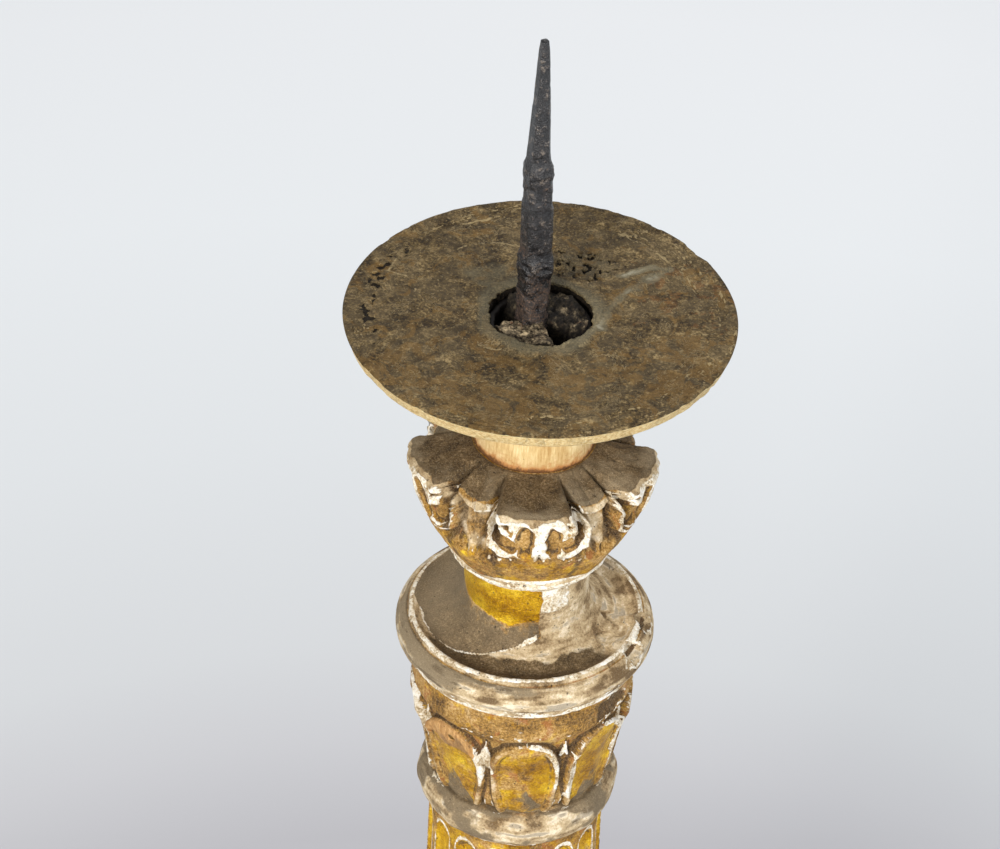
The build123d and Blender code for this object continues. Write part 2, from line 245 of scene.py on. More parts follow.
class Paint:
    """A node material in the making. Patterns lie in the object's coordinates, with sizes in millimetres."""

    def __init__(self, name):
        self.material = bpy.data.materials.new(name)
        self.material.use_nodes = True
        self.tree = self.material.node_tree
        self.tree.nodes.clear()
        self.place = self.node("TexCoord").outputs["Object"]

    def node(self, kind, **settings):
        """A new shader node."""
        made = self.tree.nodes.new("ShaderNode" + kind)
        for key, value in settings.items():
            setattr(made, key, value)
        return made

    def feed(self, socket, value):
        """Links a value to a socket, or sets the socket to a constant."""
        if isinstance(value, bpy.types.NodeSocket):
            self.tree.links.new(value, socket)
        else:
            socket.default_value = value

    def stretched(self, stretch):
        """The coordinates, scaled along each axis."""
        made = self.node("Mapping")
        self.feed(made.inputs["Vector"], self.place)
        made.inputs["Scale"].default_value = stretch
        return made.outputs["Vector"]

    def noise(self, size, detail=4.0, rough=0.55, stretch=None, bend=0.0):
        """Noise from 0 to 1. Its largest lumps are size across."""
        made = self.node("TexNoise")
        self.feed(made.inputs["Vector"], self.stretched(stretch) if stretch else self.place)
        made.inputs["Scale"].default_value = 1 / (size * MM)
        made.inputs["Detail"].default_value = detail
        made.inputs["Roughness"].default_value = rough
        made.inputs["Distortion"].default_value = bend
        return made.outputs["Fac"]

    def mark(self, name):
        """What the mesh says at each point under that name."""
        return self.node("Attribute", attribute_name=name).outputs["Fac"]

    def math(self, operation, a, b=0.0, clamp=False):
        """A Math node on two values."""
        made = self.node("Math", operation=operation, use_clamp=clamp)
        self.feed(made.inputs[0], a)
        self.feed(made.inputs[1], b)
        return made.outputs[0]

    def times(self, a, b):
        return self.math("MULTIPLY", a, b)

    def plus(self, a, b):
        return self.math("ADD", a, b)

    def minus(self, a, b):
        return self.math("SUBTRACT", a, b)

    def most(self, a, b):
        return self.math("MAXIMUM", a, b)

    def blend(self, a, share, b, other):
        """A weighted sum of two values."""
        return self.plus(self.times(a, share), self.times(b, other))

    def step(self, value, low, high):
        """0 where value is under low, 1 where it is over high."""
        made = self.node("MapRange", interpolation_type="SMOOTHSTEP")
        self.feed(made.inputs["Value"], value)
        made.inputs["From Min"].default_value = low
        made.inputs["From Max"].default_value = high
        return made.outputs["Result"]

    def where(self, mark, ragged, size, edge=0.06, detail=5.0):
        """A ragged mask: 1 where the mark, pushed up or down by noise of that size, is over a half."""
        pushed = self.math("MULTIPLY_ADD", self.noise(size, detail, 0.6), ragged)
        pushed.node.inputs[2].default_value = -ragged / 2
        return self.step(self.plus(pushed, mark), 0.5 - edge, 0.5 + edge)

    def mix(self, share, a, b):
        """Colour a where share is 0 and colour b where it is 1."""
        made = self.node("Mix", data_type="RGBA")
        self.feed(made.inputs["Factor"], share)
        self.feed(made.inputs[6], a)
        self.feed(made.inputs[7], b)
        return made.outputs[2]

    def coat(self, under, mask, share, colour):
        """The colour under a coat that lies where the mask is 1 and covers that share of it."""
        return self.mix(self.times(mask, share), under, colour)

    def ramp(self, value, *stops):
        """Colours along a value. A stop is (place, red, green, blue)."""
        made = self.node("ValToRGB")
        self.feed(made.inputs["Fac"], value)
        elements = made.color_ramp.elements
        while len(elements) < len(stops):
            elements.new(0.5)
        for element, (spot, *screen_colour) in zip(elements, stops):
            element.position = spot
            element.color = shade(*screen_colour)
        return made.outputs["Color"]

    def bump(self, height, depth):
        """Normals that follow a height, which is depth deep."""
        made = self.node("Bump")
        made.inputs["Distance"].default_value = depth * MM
        self.feed(made.inputs["Height"], height)
        return made.outputs["Normal"]

    def finish(self, colour, rough, metal=0.0, normal=None, **constants):
        """The material, once its colour and gloss are made."""
        shader = self.node("BsdfPrincipled")
        self.feed(shader.inputs["Base Color"], colour)
        self.feed(shader.inputs["Roughness"], rough)
        self.feed(shader.inputs["Metallic"], metal)
        if normal is not None:
            self.feed(shader.inputs["Normal"], normal)
        for key, value in constants.items():
            shader.inputs[key.replace("_", " ")].default_value = value
        output = self.node("OutputMaterial")
        self.tree.links.new(shader.outputs["BSDF"], output.inputs["Surface"])
        return self.material


def worn_gilding(name):
    """Old gilding in layers: dirty gold over red bole, bright leaf, dirt with painted shade, dust with some
    painted shade, gesso where it is worn, wood.
    """
    p = Paint(name)
    grit = p.noise(0.4, 3.0, 0.6)
    fine = p.noise(0.9, 5.0, 0.62)
    medium = p.noise(12.0, 8.0, 0.66)
    mottle = p.blend(medium, 0.55, fine, 0.45)
    lathe = p.times(p.mark("streak"), p.mark("lathe"))
    colour = p.ramp(
        mottle,
        (0.39, 78, 56, 30), (0.46, 132, 98, 48), (0.53, 170, 130, 66), (0.61, 204, 170, 112),
    )
    red = p.step(p.noise(6.0, 6.0, 0.7, bend=0.6), 0.56, 0.62)
    colour = p.coat(colour, red, 0.6, shade(150, 82, 40))
    leaf = p.where(p.mark("leaf"), 1.0, 3.4, 0.16, 6.0)
    leaf_colour = p.ramp(
        p.blend(medium, 0.7, fine, 0.3),
        (0.38, 138, 94, 24), (0.45, 184, 132, 24), (0.53, 222, 172, 30), (0.61, 252, 212, 58),
    )
    colour = p.mix(leaf, colour, leaf_colour)
    # Dirt and painted shade: dark brown where the mark says, most in hollows, notches and between leaves.
    dirt = p.where(p.mark("dirt"), 0.9, 2.4, 0.20)
    dirt_and_shade_colour = p.ramp(fine, (0.38, 46, 34, 24), (0.60, 98, 76, 52))
    colour = p.coat(colour, dirt, 0.85, dirt_and_shade_colour)
    cream = p.where(p.mark("cream"), 0.7, 5.0, 0.20)
    cream_colour = p.ramp(
        p.blend(p.blend(medium, 0.75, fine, 0.25), 1.0, lathe, 0.11),
        (0.38, 112, 90, 62), (0.45, 164, 140, 104), (0.53, 202, 180, 143), (0.61, 236, 221, 194),
    )
    colour = p.mix(cream, colour, cream_colour)
    # Dust, and on the collar's dish a painted shade laid in with the dust colour.
    dust = p.where(p.mark("dust"), 0.8, 3.5, 0.14, 6.0)
    dust_and_shade_colour = p.ramp(
        mottle,
        (0.38, 60, 47, 31), (0.46, 88, 71, 47), (0.54, 112, 92, 64), (0.62, 156, 134, 100),
    )
    dust_and_shade_colour = p.coat(dust_and_shade_colour, p.mark("pale"), 0.7, shade(146, 130, 104))
    colour = p.mix(dust, colour, dust_and_shade_colour)
    gesso = p.where(p.mark("gesso"), 0.60, 2.2, 0.04, 6.0)
    gesso_colour = p.ramp(
        p.blend(p.noise(7.0, 6.0, 0.7), 0.6, fine, 0.4),
        (0.40, 150, 124, 88), (0.46, 206, 188, 156), (0.52, 236, 228, 210), (0.60, 248, 245, 238),
    )
    colour = p.mix(gesso, colour, gesso_colour)
    bare = p.where(p.mark("bare"), 0.6, 2.0, 0.06, 6.0)
    bare_colour = p.ramp(
        p.noise(1.2, 4.0, 0.6, stretch=(1, 1, 0.12)),
        (0.34, 158, 112, 62), (0.66, 206, 162, 104),
    )
    colour = p.mix(bare, colour, bare_colour)
    streaked = p.times(p.step(lathe, 0.25, 0.6), p.step(medium, 0.44, 0.56))
    colour = p.coat(colour, streaked, 0.55, shade(84, 68, 48))
    pits = p.step(p.noise(1.4, 3.0, 0.5), 0.68, 0.73)
    colour = p.coat(colour, pits, 0.8, shade(44, 32, 24))
    grime = p.minus(0.42, p.times(p.most(cream, gesso), 0.24))
    colour = p.coat(colour, p.step(grit, 0.54, 0.68), grime, shade(52, 40, 28))
    colour = p.coat(colour, p.step(grit, 0.44, 0.32), 0.25, shade(214, 198, 168))
    matt = p.most(p.most(gesso, cream), p.most(dust, dirt))
    shiny = p.times(leaf, p.math("SUBTRACT", 1.0, matt, clamp=True))
    rough = p.minus(0.86, p.times(shiny, 0.52))
    height = p.blend(fine, 0.55, grit, 0.35)
    height = p.plus(height, p.times(gesso, 0.35))
    height = p.minus(height, p.times(pits, 0.5))
    height = p.minus(height, p.times(streaked, 0.3))
    metal = p.times(shiny, 0.8)
    return p.finish(colour, rough, metal, p.bump(height, 0.8), Specular_IOR_Level=0.25)


def bare_wood(name):
    """Bare turned softwood, straw coloured, with fine upright grain, and darker where it is stained and where
    shade and shadow are painted.
    """
    p = Paint(name)
    grain = p.noise(0.8, 6.0, 0.65, stretch=(1, 1, 0.10))
    cloudy = p.noise(10.0, 7.0, 0.62, stretch=(1, 1, 0.5))
    colour = p.ramp(
        p.blend(grain, 0.45, cloudy, 0.55),
        (0.40, 176, 138, 84), (0.48, 197, 165, 111), (0.54, 211, 184, 131), (0.60, 224, 203, 155),
    )
    stain = p.mark("stain")
    ragged = p.plus(stain, p.blend(p.noise(1.6, 6.0, 0.7), 1.1, grain, 0.5))
    # Orange and dark brown where the foot is stained and where the shadow under the pan is painted; nearly
    # black where the socket's shade is painted.
    colour = p.coat(colour, p.step(ragged, 0.90, 1.50), 0.75, shade(176, 108, 48))
    colour = p.coat(colour, p.step(ragged, 1.35, 1.80), 0.85, shade(74, 46, 26))
    colour = p.mix(p.step(ragged, 2.10, 2.40), colour, shade(18, 13, 10))
    specks = p.step(p.noise(1.3, 3.0, 0.5), 0.70, 0.74)
    colour = p.coat(colour, specks, 0.7, shade(84, 56, 30))
    return p.finish(colour, 0.75, 0.0, p.bump(grain, 0.15), Specular_IOR_Level=0.2)


def pan_patina(name):
    """The pan's old paint: brown coats flaked off in plates, with wax, pits and bare wood as marked, and the
    hole's inner wall painted nearly black as shade.
    """
    p = Paint(name)
    grit = p.noise(0.4, 3.0, 0.6)
    fine = p.noise(0.8, 5.0, 0.62)
    middling = p.noise(5.5, 9.0, 0.74, bend=0.3)
    broad = p.noise(30.0, 6.0, 0.65)
    tone = p.blend(p.blend(middling, 0.45, fine, 0.35), 1.0, broad, 0.2)
    colour = p.ramp(
        tone,
        (0.43, 58, 46, 28), (0.48, 98, 80, 51), (0.53, 138, 116, 76), (0.58, 192, 166, 118),
    )
    plates = p.noise(15.0, 9.0, 0.68, bend=0.7)
    grey = p.step(plates, 0.500, 0.515)
    colour = p.coat(colour, grey, 0.42, shade(106, 92, 68))
    coat = p.noise(11.0, 9.0, 0.7, bend=0.9)
    ochre = p.step(p.plus(coat, p.times(p.mark("golden"), 0.09)), 0.560, 0.580)
    colour = p.coat(colour, ochre, 0.50, shade(150, 114, 58))
    warm = p.where(p.times(p.mark("reddish"), 0.36), 2.2, 6.0, 0.05, 8.0)
    colour = p.coat(colour, warm, 0.45, shade(154, 104, 54))
    dark = p.step(p.noise(6.0, 8.0, 0.7, bend=0.5), 0.575, 0.600)
    colour = p.coat(colour, dark, 0.50, shade(58, 46, 31))
    flecks = p.step(p.noise(1.2, 5.0, 0.65), 0.59, 0.64)
    colour = p.coat(colour, flecks, 0.55, shade(190, 166, 120))
    colour = p.coat(colour, p.step(grit, 0.55, 0.66), 0.45, shade(42, 33, 22))
    wax = p.where(p.mark("wax"), 0.5, 5.0, 0.22, 6.0)
    wax_colour = p.ramp(p.blend(broad, 0.6, fine, 0.4), (0.42, 92, 85, 64), (0.58, 150, 141, 112))
    colour = p.coat(colour, wax, 0.70, wax_colour)
    colour = p.mix(p.where(p.minus(p.mark("wax"), 0.40), 0.5, 2.5, 0.16), colour, shade(192, 184, 158))
    torn = p.step(p.math("ABSOLUTE", p.minus(plates, 0.500)), 0.0085, 0.0030)
    lifted = p.step(p.math("ABSOLUTE", p.minus(coat, 0.560)), 0.0080, 0.0030)
    broken = p.step(p.noise(7.0, 6.0, 0.7), 0.49, 0.53)
    torn = p.times(p.most(torn, p.times(lifted, 0.7)), broken)
    torn = p.most(torn, p.where(p.mark("torn"), 1.5, 1.2, 0.12, 6.0))
    colour = p.coat(colour, torn, 0.75, shade(204, 180, 132))
    # Dark pits, and the hole's inner wall, which this mark paints nearly black as shade.
    pits = p.where(p.mark("pits"), 0.9, 1.1, 0.06, 4.0)
    colour = p.coat(colour, pits, 0.92, shade(24, 18, 13))
    bare = p.where(p.mark("bare"), 0.5, 1.6, 0.05, 6.0)
    grain = p.noise(1.2, 5.0, 0.65, stretch=(1, 0.3, 2.4))
    bare_colour = p.ramp(grain, (0.36, 210, 172, 110), (0.50, 240, 210, 148), (0.64, 252, 233, 184))
    nicks = p.step(p.noise(2.0, 5.0, 0.7), 0.62, 0.68)
    bare_colour = p.coat(bare_colour, nicks, 0.35, shade(150, 112, 68))
    colour = p.mix(bare, colour, bare_colour)
    height = p.blend(p.blend(middling, 0.6, fine, 0.8), 1.0, grit, 0.45)
    height = p.plus(height, p.blend(grey, 0.22, torn, 0.3))
    height = p.minus(height, p.blend(dark, 0.25, pits, 0.9))
    rough = p.minus(p.plus(fine, 0.12), p.times(wax, 0.1))
    return p.finish(colour, rough, 0.0, p.bump(height, 1.5), Specular_IOR_Level=0.22)


def forged_iron(name):
    """Black forged iron: a satin skin with hammer marks that catch the light, and a little brown rust."""
    p = Paint(name)
    fine = p.noise(0.6, 6.0, 0.65)
    skin = p.noise(2.6, 6.0, 0.6)
    colour = p.ramp(
        p.blend(skin, 0.7, fine, 0.3),
        (0.46, 14, 14, 17), (0.56, 36, 33, 33), (0.63, 104, 94, 84),
    )
    rust = p.where(p.mark("rust"), 0.9, 2.2, 0.10, 7.0)
    rust_colour = p.ramp(fine, (0.42, 34, 28, 25), (0.54, 70, 54, 43), (0.66, 132, 100, 74))
    colour = p.coat(colour, rust, 0.8, rust_colour)
    rough = p.plus(p.blend(fine, 0.35, rust, 0.40), 0.06)
    height = p.blend(skin, 0.8, fine, 0.4)
    return p.finish(colour, rough, 0.0, p.bump(height, 0.9), Specular_IOR_Level=0.6)


def burnt_splinters(name):
    """Splintered wood, dark with soot and painted shade, rust and old wax."""
    p = Paint(name)
    grain = p.noise(1.0, 6.0, 0.7)
    colour = p.ramp(
        p.blend(p.noise(3.4, 6.0, 0.7), 0.6, grain, 0.4),
        (0.42, 36, 30, 22), (0.48, 92, 80, 62), (0.53, 140, 124, 98), (0.59, 204, 182, 144),
    )
    colour = p.coat(colour, p.step(p.noise(2.4, 5.0, 0.6), 0.60, 0.66), 0.4, shade(120, 70, 44))
    # Soot and painted shade, nearly black.
    soot = p.where(p.mark("soot"), 0.7, 2.5, 0.16, 6.0)
    colour = p.coat(colour, soot, 0.93, shade(15, 12, 10))
    return p.finish(colour, 0.85, 0.0, p.bump(grain, 0.7), Specular_IOR_Level=0.25)


# The turned and carved pieces


def weather(points, rough=0.12, chips=0.5, seed=0):
    """The grid with a hand-made unevenness and chips off its edges, and how far each point has chipped."""
    normal = outward(points)
    chip = smooth(0.10, 0.45, bulge(points, 3)) * smooth(0.35, 0.75, noise(points, 8.0, seed + 3, 4))
    push = rough * (noise(points, 6.0, seed, 3) + 0.35 * noise(points, 1.8, seed + 5, 2)) - chips * chip
    return points + normal * push[..., None], chip


def worn_marks(points, seed=0):
    """Marks for gilding that has worn on its edges, with dirt and painted shade in its hollows, and dust on
    top.
    """
    stand_out = bulge(points, 3) + 0.6 * bulge(points, 1)
    upward = outward(points)[..., 2]
    patch = noise(points, 16.0, seed + 20, 4)
    row, around = np.indices(points.shape[:2])
    around = around * 2 * np.pi / points.shape[1]
    return {
        "gesso": 0.16 + 0.75 * smooth(0.05, 0.45, stand_out) + 0.22 * patch,
        # Darker in the hollows: dirt and painted shade together.
        "dirt": 0.20 + 0.6 * smooth(-0.05, -0.45, stand_out) - 0.1 * patch,
        "dust": 0.10 + 0.45 * smooth(0.35, 0.85, upward) + 0.2 * noise(points, 22.0, seed + 21, 3),
        "leaf": 0.30 + 0.3 * noise(points, 14.0, seed + 22, 3),
        "lathe": noise(space(0.55 * row, 7 * np.cos(around), 7 * np.sin(around)), 1.7, seed + 23, 2),
        "bare": 0.05,
        "streak": 0.0,
        "cream": 0.0,
        "pale": 0.0,
    }


def gilded_piece(name, points, material, marks=None, seed=0, **wear):
    """A finished piece from its grid. A marks function adds what is the piece's own to the general wear."""
    points, chip = weather(points, seed=seed, **wear)
    worn = worn_marks(points, seed)
    worn["gesso"] = worn["gesso"] + 0.5 * chip
    if marks:
        marks(points, worn)
    return dress(grid_object(name, points, worn), name, material)


def pricket(material):
    """The forged spike: a square bar with eased corners, hammer marks and two swells, drawn to a point."""
    foot, tip = -26, PRICKET_TIP - PAN_TOP  # over the pan's top
    twist, squareness = 28, 6.0
    widths = [(foot, 10.2), (10, 10.7), (16, 11.0), (21, 12.3), (25, 12.0), (28, 10.6), (50, 10.2), (57, 9.4)]
    widths += [(60, 10.2), (63, 9.8), (66, 7.9), (73, 7.0), (91, 5.4), (110, 3.4), (117, 1.9), (tip, 0.7)]
    rise = np.arange(tip, foot, -0.4)
    half = np.interp(rise, *zip(*widths)) / 2
    angle, half = np.meshgrid(np.arange(120) * 3, half)
    rise = np.broadcast_to(rise[:, None], angle.shape)
    turn = np.radians(angle - twist)
    ring = (np.abs(np.cos(turn)) ** squareness + np.abs(np.sin(turn)) ** squareness) ** (-1 / squareness)
    radius = half * np.minimum(ring, 1.17) * 0.92
    points = place(angle, radius, rise + PAN_TOP)
    dents = np.abs(noise(points * [1, 1, 0.4], 6.0, 5, 2)) * 0.22 + noise(points, 2.0, 6, 3) * 0.05
    dents = (dents + 0.4 * smooth(0.3, 0.8, noise(points, 7.0, 10, 2))) * (1 - 0.6 * smooth(64, 80, rise))
    at_swells = smooth(5, 1, np.abs(rise - 22)) + smooth(4, 1, np.abs(rise - 61))
    lumps = (0.35 * smooth(34, 14, rise) + 0.55 * at_swells) * noise(points, 2.8, 7, 3)
    points = place(angle, radius + (0.12 - dents + lumps) * smooth(0.2, 1.5, half), rise + PAN_TOP)
    points[..., 0] += PRICKET_X + 0.5 * np.sin(rise / 17.0) * smooth(100, 40, rise)
    rust = 0.16 + 0.24 * smooth(24, 6, rise) + 0.14 * smooth(70, 40, rise) + 0.22 * noise(points, 8.0, 8, 3)
    return dress(grid_object("pricket", points, {"rust": rust}), "pricket", material)


def block(wide, thick, tall):
    """A standing block with eased corners that tapers upwards to a rounded end."""
    along = np.linspace(0, 1, 26)[:, None]
    round_it = np.linspace(0, 2 * math.pi, 28, endpoint=False)[None]
    taper = 1 - 0.45 * along**2 - 0.5 * smooth(0.9, 1.0, along)
    x = wide / 2 * np.sign(np.cos(round_it)) * np.abs(np.cos(round_it)) ** 0.4 * taper
    y = thick / 2 * np.sign(np.sin(round_it)) * np.abs(np.sin(round_it)) ** 0.4 * taper
    return space(x, y, along * tall)


def splinters(material):
    """The wedges round the tang: blocks and slivers of wood, crushed into the post's socket and charred, and
    darkened by painted shade deeper down and away from the front.
    """
    reach = SOCKET_RADIUS - 0.4
    spread = 16.9  # over the post's lip
    floor = PAN_UNDER - 21.5
    front, left_gap, right_gap = -25, -104, 46

    def heap(turn):
        """The heap's top, high in front on the left, with a gap further left and one at the right front."""
        turn = centred(turn)
        gap = np.maximum(smooth(34, 16, np.abs(turn - left_gap)), smooth(32, 14, np.abs(turn - right_gap)))
        return PAN_TOP - 0.6 - 1.2 * smooth(50, 120, np.abs(turn - front)) - 9.0 * gap

    angle, radius, up = turned(outline((0.3, 1), (spread, 1), (reach, 0.62), (reach, 0), spacing=0.35), 200)
    spot = place(angle, radius, 0)
    rubble = 1.5 * noise(spot, 5.0, 15, 4) + 0.9 * np.abs(noise(spot, 2.2, 16, 3))
    top = heap(angle) - 0.8 + rubble - 0.4 * smooth(reach - 3, reach, radius)
    height = np.where(up > 0.99, top, floor + (top[-1] - floor) * up)
    # Soot with painted shade: darker deeper in the socket and away from the front.
    soot = 0.30 + 0.4 * smooth(-4, -8, height - PAN_TOP) - 0.3 * noise(spot, 6.0, 17, 3)
    soot = soot + 0.34 * smooth(40, 100, np.abs(centred(angle - front)))
    pieces = [grid_object("crushed", place(angle, radius, np.minimum(height, PAN_TOP - 0.8)), {"soot": soot})]
    draw = np.random.default_rng(12)
    for number in range(34):
        turn, away = draw.uniform(-180, 180), draw.uniform(6.5, reach - 2.5)
        wide, thick = draw.uniform(2.4, 6.0), draw.uniform(1.2, 3.4)
        crest = heap(turn) + draw.uniform(-3.0, 0.8) - 2.2 * smooth(9, reach, away)
        grid = block(wide, thick, crest - floor)
        grid = grid + 0.45 * noise(grid + draw.uniform(0, 90, 3), 2.6, 9, 3)[..., None]
        facing = Matrix.Rotation(math.radians(draw.uniform(0, 360)), 3, "Z")
        tilt = Matrix.Rotation(math.radians(draw.uniform(-14, 14)), 3, "X")
        grid = grid @ np.array(tilt @ facing).T + place(turn, away, floor)
        from_axis = np.hypot(grid[..., 0], grid[..., 1])
        grid[..., :2] *= np.minimum(1, reach / np.maximum(from_axis, 1e-6))[..., None]
        grid[..., 2] = np.minimum(grid[..., 2], PAN_TOP - 0.5)
        # Painted shade: darker away from the front.
        dark = 0.34 * smooth(40, 100, abs(turn - front))
        soot = draw.uniform(0.0, 0.4) + dark + 0.5 * smooth(-3, -8, grid[..., 2] - PAN_TOP)
        pieces.append(grid_object(f"splinter_{number}", grid[::-1], {"soot": soot}))
    return dress(join(pieces, "pricket_wedges"), "pricket_wedges", material)


def join(pieces, name):
    """Several mesh objects as one."""
    with bpy.context.temp_override(active_object=pieces[0], selected_editable_objects=pieces):
        bpy.ops.object.join()
    pieces[0].name = name
    pieces[0].data.name = name
    return pieces[0]


def drip_pan(material):
    """The round board: flaking paint, a ragged hole ringed with wax, its inner wall painted nearly black as
    shade, a ridge of wax, and a bare edge.
    """
    hole = 19.0
    points = outline(
        (hole, PAN_UNDER + 1.5), (hole, PAN_TOP - 0.5), (hole + 0.5, PAN_TOP), (PAN_RADIUS - 0.6, PAN_TOP),
        (PAN_RADIUS, PAN_TOP - 0.8), (PAN_RADIUS - 1.6, PAN_UNDER + 1.0), (PAN_RADIUS - 2.6, PAN_UNDER),
        (hole, PAN_UNDER), spacing=0.5,
    )
    angle, radius, height = turned(points, 760)
    turn = centred(angle)
    on_top = smooth(PAN_TOP - 1.2, PAN_TOP - 0.3, height)
    on_side = smooth(PAN_TOP - 0.6, PAN_TOP - 1.1, height) * smooth(PAN_RADIUS - 8, PAN_RADIUS - 5, radius)
    in_hole = smooth(PAN_TOP - 0.8, PAN_TOP - 1.6, height) * smooth(hole + 2, hole, radius)
    flat = place(angle, radius, 0)
    x, y = flat[..., 0], flat[..., 1]
    torn_rim = 0.7 + 1.0 * noise(flat, 6.0, 31, 3) + 0.7 * noise(flat, 2.2, 32, 3)
    radius = radius - smooth(hole + 5, hole, radius) * on_top * torn_rim
    radius = radius - 0.8 * in_hole * noise(place(angle, radius, height), 3.0, 56, 3)

    def bead(route, width, seed):
        """How near each point is to a bead of wax that runs through the points of a route."""
        share = np.linspace(0, len(route) - 1, 80)
        line = np.stack([np.interp(share, range(len(route)), column) for column in zip(*route)], axis=-1)
        away = np.min(np.hypot(x[..., None] - line[:, 0], y[..., None] - line[:, 1]), axis=-1)
        return smooth(width, 0.2, away + 0.3 * width * noise(flat, 4.0, seed, 3)) * on_top

    ridge = bead([(21, -7), (24, 3), (29, 13), (37, 22), (46, 29)], 4.4, 33)
    ridge = np.maximum(ridge, 0.9 * bead([(28, 24), (38, 30), (46, 29)], 3.6, 34))
    ridge = np.maximum(ridge, 0.8 * bead([(24, 3), (21, 9), (18, 17), (6, 20), (-4, 21)], 4.4, 35))
    scrap = bead([(2.6, 23), (2.4, 26), (3.2, 30)], 1.5, 36)
    pitted = smooth(13, 6, np.hypot((x - 15) / 1.3, y - 29) + 3 * noise(flat, 6.0, 38, 2)) * on_top
    pits = smooth(0.22, 0.50, noise(flat, 1.9, 39, 3)) * pitted
    bubbles = np.maximum(noise(flat, 3.0, 47, 3), 0) * pitted
    rot = smooth(0.15, 0.45, noise(flat, 2.2, 40, 2)) * smooth(5, 1, np.abs(radius - 61)) * on_top
    rot = rot * smooth(40, 20, np.abs(turn + 98))
    peeling = noise(space(np.radians(turn) * 22, radius * 1.3, 0), 5.0, 37, 4)
    peeling = peeling * smooth(54, 62, radius) * on_top
    torn = smooth(0.07, 0.01, np.abs(peeling - 0.22)) * smooth(-0.2, 0.2, noise(flat, 16.0, 48, 3))
    cracks = [
        (1.0, 0.8, 49, [(-52, 30), (-55, 22), (-48, 19), (-44, 14), (-45, 10)]),
        (1.0, 0.7, 53, [(-48, 19), (-42, 20), (-36, 17)]),
        (1.0, 0.7, 50, [(-22, -17), (-21, -20), (-15, -22), (-8, -21)]),
        (0.9, 0.8, 51, [(-31, 36), (-27, 40), (-16, 42), (-8, 40), (-5, 36)]),
        (0.9, 0.8, 52, [(52, -6), (58, -8), (62, -7), (66, -11)]),
    ]
    crack = np.max([depth * bead(route, width, seed) for depth, width, seed, route in cracks], axis=0)
    crack = crack * smooth(-0.45, 0.15, noise(flat, 5.0, 55, 3))
    rolled = smooth(3.0, 0.5, np.abs(radius - hole - 2.6 - 1.2 * noise(flat, 9.0, 57, 3))) * on_top
    relief = 0.16 * noise(flat, 9.0, 41, 5) + 0.16 * noise(flat, 3.0, 42, 4)
    relief = relief - 0.35 * smooth(0.20, 0.26, peeling)
    relief = relief + 2.2 * ridge**1.4 + 0.9 * scrap + 0.9 * bubbles - 1.1 * pits - 0.7 * rot - 0.5
    relief = relief + rolled * (0.5 + 0.6 * noise(flat, 12.0, 58, 2))
    height = height + on_top * relief * smooth(hole, hole + 2, radius)
    edge = smooth(PAN_RADIUS - 4, PAN_RADIUS - 1, radius)
    nick = smooth(0.5, 0.8, noise(place(angle, 60, 0), 7.0, 43, 3))
    broken = smooth(5, 2, np.abs(turn - 128))
    radius = radius - edge * (0.2 + 0.12 * noise(flat, 30.0, 44, 2) + 0.4 * nick + 0.9 * broken)
    points = place(angle, radius, np.minimum(height, PAN_TOP))
    around_hole = smooth(hole + 8 + 4 * noise(flat, 12.0, 45, 3), hole + 2, radius)
    smear = smooth(16, 6, np.hypot(x + 18, (y - 22) / 0.6) + 4 * noise(flat, 7.0, 46, 3))
    film = np.maximum(np.maximum(0.70 * around_hole, 0.55 * smear), 0.45 * pitted)
    thick_wax = np.maximum((0.80 + 0.35 * noise(flat, 9.0, 54, 3)) * ridge**1.2, scrap)
    marks = {
        "bare": on_side,
        "wax": np.maximum(film, thick_wax) * on_top,
        # The hole's inner wall goes in with the pits: painted shade, nearly black.
        "pits": np.maximum(np.maximum(pits, 0.8 * rot), in_hole),
        "golden": smooth(60, 10, np.hypot(x + 20, y + 45)) + smooth(34, 10, np.hypot(x - 44, y + 30)),
        "reddish": smooth(40, 12, np.hypot(x - 54, y - 14)),
        "torn": np.maximum(0.95 * torn, 0.65 * crack) * (1 - on_side),
    }
    closed = np.concatenate([points, points[:1]])
    marks = {key: np.concatenate([value, value[:1]]) for key, value in marks.items()}
    made = grid_object("drip_pan", closed, marks, caps=False)
    return dress(made, "drip_pan", material, "pan")


